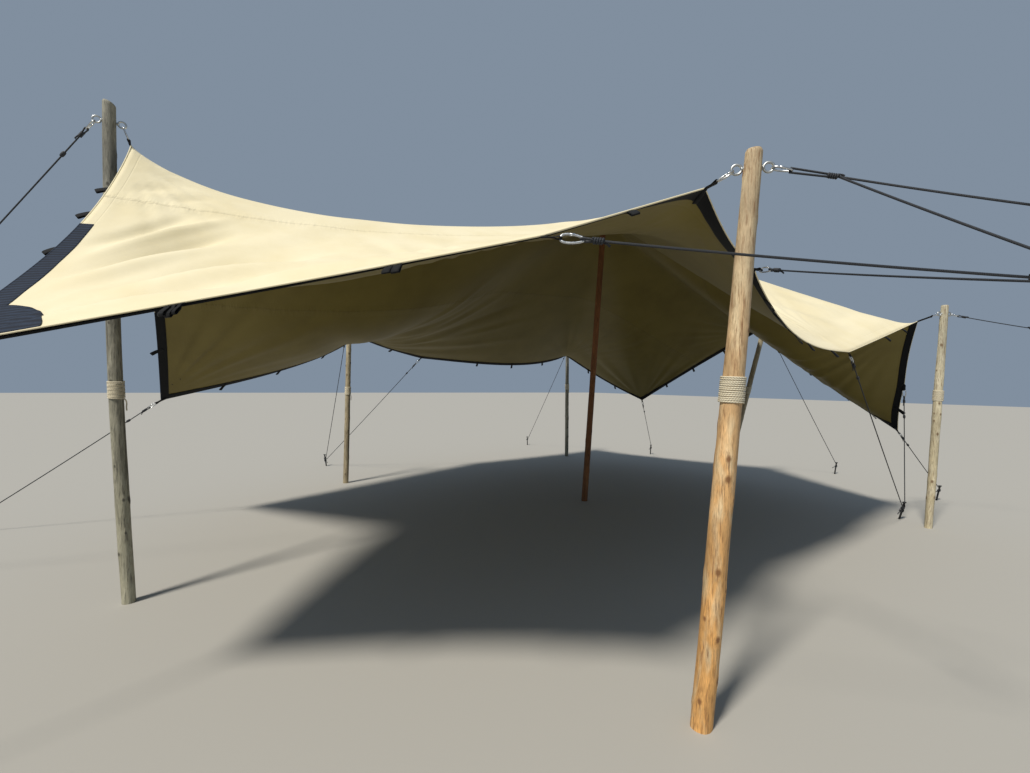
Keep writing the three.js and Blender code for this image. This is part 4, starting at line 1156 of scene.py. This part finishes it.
def rope_material(name, light, dark, lay, girth, twist, roughness):
    """Rope: light strands with dark gaps, drawn on its UVs as diagonal stripes, one way for twisted rope and
    both ways for braid, with a little fibre noise."""
    material, tree, shader = new_material(name)
    uv = add_node(tree, "TexCoord").outputs["UV"]
    stripes = []
    for slope in ((1,) if twist else (1, -1)):
        skewed = add_node(tree, "Mapping", {"Vector": uv, "Scale": (1 / lay, slope * 1 / girth, 1)})
        parts = add_node(tree, "SeparateXYZ", {"Vector": skewed.outputs[0]})
        turned = add_node(tree, "Math", {0: parts.outputs["X"], 1: parts.outputs["Y"]}, operation="ADD")
        swing = add_node(tree, "Math", {
            0: turned.outputs[0], 1: 2 * math.pi * STRANDS,
        }, operation="MULTIPLY")
        wave = add_node(tree, "Math", {0: swing.outputs[0]}, operation="COSINE")
        stripes.append(wave)
    if twist:
        height = stripes[0]
    else:
        height = add_node(tree, "Math", {
            0: stripes[0].outputs[0], 1: stripes[1].outputs[0],
        }, operation="MULTIPLY")
    raised = add_node(tree, "MapRange", {"Value": height.outputs[0], "From Min": -0.9, "From Max": 0.4})
    fibre = add_node(tree, "TexNoise", {"Vector": uv, "Scale": 700.0, "Detail": 3.0})
    fuzz = add_node(tree, "Math", {0: raised.outputs[0], 1: fibre.outputs["Fac"]}, operation="MULTIPLY")
    fade = add_node(tree, "MixRGB", {
        "Fac": raised.outputs[0], "Color1": linear(dark), "Color2": linear(light),
    })
    bump = add_node(tree, "Bump", {"Height": fuzz.outputs[0], "Distance": 0.0018, "Strength": 0.8})
    tree.links.new(fade.outputs[0], shader.inputs["Base Color"])
    tree.links.new(bump.outputs[0], shader.inputs["Normal"])
    shader.inputs["Roughness"].default_value = roughness
    return material


# Sisal: stiff pale straw fibres in three strands, matt, with shade between the strands.
sisal = rope_material(
    "twisted_sisal", SISAL_LIGHT, SISAL_DARK, SISAL_LAY, 2 * math.pi * SISAL_RADIUS,
    twist=True, roughness=0.9,
)
chance = np.random.default_rng(5)
(slow, slow_pace), (quick, quick_pace) = WANDER
for pole in POLES:
    name, low = pole[0], pole[7]
    girth = 2 * math.pi * (pole_axis(pole, low)[1] + SISAL_RADIUS)
    count = int(LASHING_TURNS * girth / SISAL_STEP)
    turn = np.linspace(0, LASHING_TURNS, count)
    pitch = (LASHING_HEIGHT - 2 * SISAL_RADIUS) / LASHING_TURNS
    wander = slow * np.sin(slow_pace * turn + chance.uniform(0, 6)) + quick * np.sin(quick_pace * turn)
    height = low + LASHING_HEIGHT - SISAL_RADIUS - pitch * turn + wander
    centre, radius = pole_axis(pole, height)
    angle = 2 * math.pi * turn + LASHING_START
    spoke = np.stack([np.cos(angle), np.sin(angle), np.zeros(count)], -1)
    wound = centre + (radius + SISAL_RADIUS + LASHING_GAP)[:, None] * spoke
    way = np.cross(upright, spoke[-1])
    ends = [wound[-1] + a * way + b * upright + TAIL_OUT * a * spoke[-1] for a, b in TAIL]
    tail = smooth_path(ends, TAIL_STEPS)
    path = np.vstack([wound, tail[1:]])
    side = np.vstack([np.broadcast_to(upright, wound.shape), np.broadcast_to(spoke[-1], tail[1:].shape)])
    skin = carried(path, strands(path, SISAL_RADIUS, SISAL_LAY, SISAL_SIDES), SISAL_SIDES, side=side)
    make_piece(f"{name}_rope_turns", skin, [f"{name}_lashing"], [sisal])


# Ring bolts. A galvanised bolt goes through each pole's head, a little higher than the canopy's tip, and
# carries a forged ring on a collar at each end. A washer lies against the wood on both sides.
RING_RADIUS = 0.022
RING_WIRE = 0.006
RING_STAND = 0.008
RING_STEPS = 40
BOLT_RADIUS = 0.0054
COLLAR_GAP = 0.001
# Radius and place along the bolt, for the collar and the washer.
COLLAR = ((0.0062, -0.004), (0.0095, -0.002), (0.0100, 0.001), (0.0085, 0.004), (0.0050, 0.0065))
WASHER = ((0.0126, 0), (0.0130, 0.0004), (0.0130, 0.0014), (0.0126, 0.0018))
WASHER_GAP = 0.0005
ZINC_GREY = "#B9BCBC"
ZINC_GRIME = "#6F6C64"
STEEL_BRIGHT = "#C9CCCE"
STEEL_GRIME = "#8A8A88"
TIPS = {name: np.array(at) for name, _, at, *_ in SUPPORTS}


def metal_material(name, colour, grime, roughness, spangle):
    """Bare or zinc-coated metal: a gloss that differs from cell to cell, and dull grime in patches."""
    material, tree, shader = new_material(name)
    place = add_node(tree, "TexCoord").outputs["Object"]
    cells = add_node(tree, "TexVoronoi", {"Vector": place, "Scale": spangle})
    stain = add_node(tree, "TexNoise", {"Vector": place, "Scale": 90.0, "Detail": 6.0, "Roughness": 0.7})
    stained = add_node(tree, "MapRange", {
        "Value": stain.outputs["Fac"], "From Min": 0.52, "From Max": 0.78, "To Max": 0.55,
    })
    tint = add_node(tree, "MixRGB", {
        "Fac": stained.outputs[0], "Color1": linear(colour), "Color2": linear(grime),
    })
    gloss = add_node(tree, "MapRange", {
        "Value": cells.outputs["Distance"], "To Min": roughness, "To Max": roughness + 0.16,
    })
    tree.links.new(tint.outputs[0], shader.inputs["Base Color"])
    tree.links.new(gloss.outputs[0], shader.inputs["Roughness"])
    shader.inputs["Metallic"].default_value = 1.0
    return material


# Galvanised steel: dull grey zinc with a fine spangle. Polished steel: the snaps, rubbed bright by use.
zinc = metal_material("galvanised_steel", ZINC_GREY, ZINC_GRIME, roughness=0.34, spangle=160.0)
bright = metal_material("polished_steel", STEEL_BRIGHT, STEEL_GRIME, roughness=0.20, spangle=90.0)


def disc_stack(middle, way, outline, sides):
    """A turned piece: rings of the outline's (radius, place) along a direction, closed at both ends."""
    outline = np.array(outline)
    path = middle + outline[:, 1:] * way
    side = (0, 0, 1) if abs(way[2]) < 0.9 else (1, 0, 0)
    return carried(path, outline[:, 0], sides, side=side, runs=np.broadcast_to(way, path.shape))


def wire_ring(middle, along, radius, wire):
    """A closed upright ring of round wire: middle + radius·(cos t·along + sin t·up)."""
    t = np.linspace(0, 2 * math.pi, RING_STEPS, endpoint=False)[:, None]
    path = middle + radius * (np.cos(t) * along + np.sin(t) * upright)
    return carried(path, wire, sides=14, side=np.cross(along, upright), round_path=True)


def bolt_of(pole):
    """A pole's bolt: its middle, its level way towards the canopy's tip, the log's radius there, and the
    middles of its two rings."""
    height = pole[6]
    middle, radius = pole_axis(pole, height)
    way = TIPS[pole[0]] - middle
    way[2] = 0
    way = unit(way)
    reach = radius + RING_STAND + RING_RADIUS
    return middle, way, radius, [middle + reach * way, middle - reach * way]


for pole in POLES:
    middle, way, radius, rings = bolt_of(pole)
    parts = []
    shank = radius + RING_STAND + RING_WIRE / 2
    parts.append(carried([middle - shank * way, middle + shank * way], BOLT_RADIUS, sides=20))
    for ring, turn in zip(rings, (1, -1)):
        parts.append(wire_ring(ring, way, RING_RADIUS, RING_WIRE))
        neck = ring - turn * (RING_RADIUS + COLLAR_GAP) * way
        parts.append(disc_stack(neck, turn * way, COLLAR, sides=20))
    make_piece(f"{pole[0]}_ring_bolt", joined(parts), [f"{pole[0]}_eyebolt"], [zinc])
    washers = []
    for turn in (1, -1):
        seat = middle + turn * (radius + WASHER_GAP) * way
        washers.append(disc_stack(seat, turn * way, WASHER, sides=28))
    make_piece(f"{pole[0]}_washers", joined(washers), (), [zinc])


# Snaps. Pear-shaped hooks of polished steel wire, with a sleeved gate, join the ropes and tabs to the rings.
SNAP_WIRE = 0.0046
SNAP_HALF_WIDE = 0.020
SNAP_LENGTH = 0.092
SNAP_STEPS = 56
SNAP_TAPER = 0.25
SNAP_FULLNESS = 0.72
SEAT_PLAY = 0.0009
# Radius and place along the gate.
GATE_SLEEVE = ((0.0044, -0.013), (0.0054, -0.012), (0.0054, 0.006), (0.0046, 0.007))


def snap_on_ring(ring, ring_normal, towards):
    """Where a snap that hangs on a ring starts, its direction, its sideways direction and where it ends."""
    heading = unit(towards - ring)
    in_plane = unit(heading - (heading * ring_normal).sum() * ring_normal)
    start = ring + RING_RADIUS * in_plane - (RING_WIRE + SEAT_PLAY + SNAP_WIRE) * heading
    along_wire = unit(np.cross(ring_normal, in_plane))
    return start, heading, unit(np.cross(along_wire, heading)), start + SNAP_LENGTH * heading


def carabiner(start, heading, across):
    """A snap hook: wire bent to a pear, length·cos t by width·|sin t|^fullness·(1 - taper·cos t), and the
    sleeve of its gate on one side."""
    middle = start + SNAP_LENGTH / 2 * heading
    reach = SNAP_HALF_WIDE - SNAP_WIRE / 2
    t = np.linspace(0, 2 * math.pi, SNAP_STEPS, endpoint=False)
    x = (SNAP_LENGTH / 2 - SNAP_WIRE) * np.cos(t)
    y = reach * np.sign(np.sin(t)) * np.abs(np.sin(t)) ** SNAP_FULLNESS * (1 - SNAP_TAPER * np.cos(t))
    path = middle + x[:, None] * heading + y[:, None] * across
    body = carried(path, SNAP_WIRE, sides=12, side=np.cross(heading, across), round_path=True)
    return joined([body, disc_stack(middle + reach * across, heading, GATE_SLEEVE, sides=16)])


# Tabs. Where a tie or a link takes hold of the canopy, a doubled strip of webbing is sewn under the hem and
# runs out round the wire of a snap.
TAB_WIDTH = 0.025
TAB_THICK = 0.0016
TAB_SEWN = 0.055
TAB_BELOW = (0.0080, 0.0080, 0.0056)    # how far under the cloth, from its sewn end to the edge
TAB_HALF = 0.0012
TAB_OPENING = 0.030
TAB_STEPS = 33
TAB_BEND_STEPS = 9
TAB_GAP = 0.0003
TAB_REACH = 0.060


def sewn_tab(place, wire):
    """A doubled strip from under the cloth at a net place out to a wire, seen from the side: two lines that
    part from ±half to ±wire radius over their last 30 mm by 3·near² - 2·near³, joined by half a circle."""
    cell = np.divide(CLOTH_SIZE, NET)
    step = unit(np.subtract(PEAK_PLACE, place) * cell) / cell * FINE
    sewn = np.multiply(place, FINE) + np.outer((TAB_SEWN, TAB_SEWN / 2, 0), step)
    below = between(sheet_normals, *sewn.T)
    first, second, rim = between(sheet_points, *sewn.T) - np.array(TAB_BELOW)[:, None] * below
    line = smooth_path([first, second, rim, (rim + wire) / 2, wire], TAB_STEPS)
    run = unit(np.gradient(line, axis=0))
    wide_way = unit(np.cross(run, smooth_path(below[[0, 1, 2, 2, 2]], TAB_STEPS)))
    rise = unit(np.cross(wide_way, run))
    length = np.concatenate([[0], np.cumsum(np.linalg.norm(np.diff(line, axis=0), axis=1))])
    near = np.clip((length - length[-1] + TAB_OPENING) / TAB_OPENING, 0, 1)
    round_wire = SNAP_WIRE + TAB_THICK / 2 + TAB_GAP
    apart = (TAB_HALF + (round_wire - TAB_HALF) * near**2 * (3 - 2 * near))[:, None]
    turn = np.linspace(math.pi / 2, -math.pi / 2, TAB_BEND_STEPS)[1:-1, None]
    bend = wire + round_wire * (np.cos(turn) * run[-1] + np.sin(turn) * rise[-1])
    middle = np.vstack([line + apart * rise, bend, (line - apart * rise)[::-1]])
    ways = np.vstack([wide_way, np.broadcast_to(wide_way[-1], bend.shape), wide_way[::-1]])
    wide = np.linspace(-TAB_WIDTH / 2, TAB_WIDTH / 2, STRIP_COLUMNS)
    points = middle[:, None] + wide[None, :, None] * ways[:, None]
    along = np.concatenate([[0], np.cumsum(np.linalg.norm(np.diff(middle, axis=0), axis=1))])
    return sheet_shell(points, np.stack(np.broadcast_arrays(along[:, None], wide[None, :]), -1))


# Links. A polished steel snap hangs on the inner ring of each pole and holds the canopy's tip by its tab.
NET_PLACES = {name: place for name, place, *_ in SUPPORTS}
for pole in POLES:
    name = pole[0]
    middle, way, radius, rings = bolt_of(pole)
    ring_normal = np.cross(way, upright)
    start, heading, across_snap, end = snap_on_ring(rings[0], ring_normal, TIPS[name])
    make_piece(f"{name}_snap", carabiner(start, heading, across_snap), [f"{name}_link"], [bright])
    tab = sewn_tab(NET_PLACES[name], end - SNAP_WIRE * heading)
    make_piece(f"{name}_tab", tab, [f"{name}_link"], [webbing], TAB_THICK)


# Ropes. Black braided polyester rope, 10 mm thick, runs from a snap on the canopy's edge or on a pole's
# outer ring to a ground stake, or to another snap at a high fixing beside the tent.
ROPE_RADIUS = 0.0048
ROPE_SIDES = 12
ROPE_STEP = 0.06
BRAID_LAY = 0.030
EYE_GAP = 0.0004
EYE_STEPS = 13
EYE_ROPE_STEPS = 70
# The two legs of a rope's eye draw together: how far from the snap, and how far each is from the middle.
EYE_LEGS = ((0.022, 0.0060), (0.040, 0.0036))
KNOT_TURNS = 4.5
KNOT_RADIUS = 0.0088
KNOT_FROM = 0.026
KNOT_LENGTH = 0.044
KNOT_SHORTER = 0.004
KNOT_STEPS = 63
KNOT_ROPE = 0.92         # the wound rope's thickness as a share of the standing part's
# The knot's loose end: on along the rope, out from it as a share of the knot's radius, and up.
KNOT_TAIL = ((0.008, 0.15, 0.000), (0.016, 0.4, -0.003), (0.023, 0.6, -0.008))
KNOT_TAIL_STEPS = 12
ROPE_BLACK = "#131519"
ROPE_GREY = "#2A2E35"
STAKE_RADIUS = 0.011
STAKE_HEIGHT = 0.210
STAKE_HEAD = (0.021, 0.012)
STAKE_BEVEL = 0.003
STAKE_FILLET = 0.002
STAKE_LEAN = 0.25
# Where a rope's upper or lower turns start on a stake, how many they are, and each one's drop in rope radii.
TURN_HEIGHTS = (0.150, 0.110)
STAKE_TURNS = 2.5
TURN_DROP = 2.1
TURN_GAP = 0.0009
TURN_STEPS = 70
# The end that sticks out after the last turn: how many of its steps on, and how far down.
TURN_TAIL = ((0, 0), (8, 0), (16, 0.012))
TURN_TAIL_STEPS = 8
STAKES = [
    (-6.950, -2.400), (2.590, -2.750), (4.250, -2.720), (5.300, -1.050), (4.350, 2.330), (2.900, 5.050),
    (-2.190, 4.520), (-6.110, 2.350), (-7.345, 1.390),
]
# Where the front pole's guy rope parts into two.
GUY_SPLIT = (-2.230, -3.818, 2.500)
# Each rope's end: a stake's number with its upper or lower turn, or the place of a snap.
TIES = [
    ("front_left_corner", (1, 0)), ("front_tie_1", (-2.373, -4.485, 1.920)),
    ("front_tie_2", (-2.185, -4.463, 1.941)), ("front_tie_3", (2, 1)), ("side_tie", (2, 0)),
    ("front_right_corner", (3, 0)), ("back_right_corner", (5, 0)),
    ("back_tie", (7, 1)), ("back_left_corner", (8, 0)),
]
GUYS = [
    ("front_pole", [(-2.244, -4.499, 1.984), (-1.960, -4.450, 2.237)]), ("left_pole", [(9, 0)]),
    ("right_pole", [(3.080, -3.800, 2.243)]), ("back_left_pole", [(7, 0)]), ("back_right_pole", [(6, 0)]),
    ("end_pole", [(4, 0)]),
]
ROPE_SAG = 0.004
SLIDER = (
    # radius, and place along the rope
    (0.0070, -0.021), (0.0105, -0.018), (0.0125, -0.006), (0.0125, 0.006), (0.0105, 0.018), (0.0070, 0.021),
)
SLIDER_FROM_KNOT = 0.16
# How far each snap on the edge has turned about its rope, in degrees: these three, and the rest.
TURNED = {"front_tie_1": 70, "front_tie_2": 55, "front_tie_3": 50}
TURNED_ELSE = 25


def stake_axis(number, height):
    """Places on a stake's axis at some heights: it leans away from the tent by a quarter of its height."""
    at = np.array(STAKES[number - 1])
    lean = STAKE_LEAN * unit(at)
    height = np.asarray(height, float)
    return np.stack([at[0] + lean[0] * height, at[1] + lean[1] * height, height], -1)


def target_of(goal):
    """Where a rope is headed: the turn on its stake, or its snap."""
    return stake_axis(goal[0], TURN_HEIGHTS[goal[1]]) if len(goal) == 2 else np.array(goal)


def tied_end(end, heading, across_wire, leg=0.0):
    """A rope tied to a snap: its eye goes round the wire, and its end is wound round the standing part, a
    helix of 4.5 turns, and sticks out. Returns the skins and the place where the standing part goes on."""
    normal = unit(np.cross(heading, across_wire))
    wire = end - SNAP_WIRE * heading
    bend = SNAP_WIRE + ROPE_RADIUS + EYE_GAP
    far = leg + KNOT_FROM + KNOT_LENGTH
    turn = np.linspace(-math.pi / 2, -3 * math.pi / 2, EYE_STEPS)[:, None]
    eye = wire + bend * (np.cos(turn) * heading + np.sin(turn) * normal)
    before = [end + (leg + a) * heading - b * normal for a, b in EYE_LEGS[::-1]]
    after = [end + (leg + a) * heading + b * normal for a, b in EYE_LEGS] + [end + far * heading]
    line = smooth_path([*before, *eye, *after], EYE_ROPE_STEPS)
    body = carried(line, ROPE_RADIUS, ROPE_SIDES, side=across_wire)
    phase = np.linspace(0, 1, KNOT_STEPS)[:, None]
    spot = end + (leg + KNOT_FROM + (KNOT_LENGTH - KNOT_SHORTER) * phase) * heading
    angle = 2 * math.pi * KNOT_TURNS * phase
    coil = spot + KNOT_RADIUS * (np.cos(angle) * normal + np.sin(angle) * across_wire)
    out = coil[-1] - spot[-1]
    tail = [coil[-1] + a * heading + b * out + c * upright for a, b, c in KNOT_TAIL]
    coil = np.vstack([coil, smooth_path([coil[-1], *tail], KNOT_TAIL_STEPS)[1:]])
    return [body, carried(coil, ROPE_RADIUS * KNOT_ROPE, ROPE_SIDES, side=heading)], end + far * heading


def taut_rope(start, end):
    """The standing part: a straight line with a slight sag, 4·sag·length·t·(1 - t)."""
    length = np.linalg.norm(end - start)
    t = np.linspace(0, 1, max(3, int(length / ROPE_STEP)))[:, None]
    line = start + t * (end - start)
    line[:, 2:] -= 4 * ROPE_SAG * length * t * (1 - t)
    return carried(line, ROPE_RADIUS, ROPE_SIDES)


def to_goal(start, goal):
    """The rest of a rope: to a stake, through a slider and two and a half turns, or to a snap of its own."""
    if len(goal) == 2:
        number, height = goal[0], TURN_HEIGHTS[goal[1]]
        level = start - stake_axis(number, height)
        level[2] = 0
        level = unit(level)
        beside = np.cross(upright, level)
        turn = np.linspace(0, STAKE_TURNS, TURN_STEPS)
        angle = 2 * math.pi * turn[:, None] + math.pi / 2
        drop = TURN_DROP * ROPE_RADIUS * turn
        round_by = STAKE_RADIUS + ROPE_RADIUS + TURN_GAP
        spoke = np.cos(angle) * level + np.sin(angle) * beside
        wound = stake_axis(number, height - drop) + round_by * spoke
        way = wound[-1] - wound[-2]
        ends = [wound[-1] + on * way - down * upright for on, down in TURN_TAIL]
        tail = smooth_path(ends, TURN_TAIL_STEPS)
        wound = np.vstack([wound, tail[1:]])
        way = unit(wound[0] - start)
        slider = disc_stack(start + SLIDER_FROM_KNOT * way, way, SLIDER, sides=20)
        return [taut_rope(start, wound[0]), carried(wound, ROPE_RADIUS, ROPE_SIDES), slider], []
    end = np.array(goal)
    heading = unit(end - start)
    across_snap = unit(np.cross(upright, heading))
    skins, begin = tied_end(end, -heading, across_snap)
    snap = carabiner(end + (SNAP_LENGTH - SNAP_WIRE) * heading, -heading, across_snap)
    return [taut_rope(start, begin), *skins], [snap]


# Braided polyester rope: black, with a grey sheen on the crowns of its diamond braid.
braid = rope_material(
    "braided_polyester_rope", ROPE_GREY, ROPE_BLACK, BRAID_LAY, 2 * math.pi * ROPE_RADIUS,
    twist=False, roughness=0.6,
)
for name, goal in TIES:
    tip = TIPS[name]
    heading = unit(target_of(goal) - tip)
    level = unit(np.cross(upright, heading))
    turned = math.radians(TURNED.get(name, TURNED_ELSE))
    across_snap = math.cos(turned) * level + math.sin(turned) * np.cross(heading, level)
    start = tip + (TAB_REACH - SNAP_WIRE) * heading
    end = start + SNAP_LENGTH * heading
    skins, begin = tied_end(end, heading, across_snap)
    more, snaps = to_goal(begin, goal)
    make_piece(f"{name}_tie", joined([*skins, *more]), [f"{name}_rope"], [braid])
    snaps.append(carabiner(start, heading, across_snap))
    make_piece(f"{name}_snap", joined(snaps), [f"{name}_rope"], [bright])
    tab = sewn_tab(NET_PLACES[name], start + SNAP_WIRE * heading)
    make_piece(f"{name}_tab", tab, [f"{name}_rope"], [webbing], TAB_THICK)
for name, goals in GUYS:
    pole = next(one for one in POLES if one[0] == name)
    middle, way, radius, rings = bolt_of(pole)
    ring_normal = np.cross(way, upright)
    split = len(goals) > 1
    aim = np.array(GUY_SPLIT) if split else target_of(goals[0])
    start, heading, across_snap, end = snap_on_ring(rings[1], ring_normal, aim)
    leg = np.linalg.norm(aim - end) - KNOT_FROM - KNOT_LENGTH if split else 0
    skins, begin = tied_end(end, heading, across_snap, leg)
    snaps = [carabiner(start, heading, across_snap)]
    for goal in goals:
        more, more_snaps = to_goal(begin, goal)
        skins += more
        snaps += more_snaps
    make_piece(f"{name}_guy_rope", joined(skins), [f"{name}_guy"], [braid])
    make_piece(f"{name}_guy_snaps", joined(snaps), [f"{name}_guy"], [bright])


# Stakes. Black painted steel pegs with a flat forged head, driven in so that they lean away from the tent.
head_radius, head_height = STAKE_HEAD
under = STAKE_HEIGHT - head_height
outline = np.array([
    (STAKE_RADIUS, 0), (STAKE_RADIUS, 0.06), (STAKE_RADIUS, 0.13), (STAKE_RADIUS, under - STAKE_BEVEL),
    (STAKE_RADIUS + STAKE_FILLET, under), (head_radius - STAKE_FILLET, under),
    (head_radius, under + STAKE_FILLET), (head_radius, STAKE_HEIGHT - STAKE_BEVEL),
    (head_radius - STAKE_BEVEL, STAKE_HEIGHT),
])
for number in range(1, len(STAKES) + 1):
    path = stake_axis(number, outline[:, 1])
    runs = np.broadcast_to(upright, path.shape)
    skin = carried(path, outline[:, 0], sides=28, side=(1, 0, 0), runs=runs)
    make_piece(f"stake_{number}", skin, [f"ground_stake_{number}"], [black_steel])
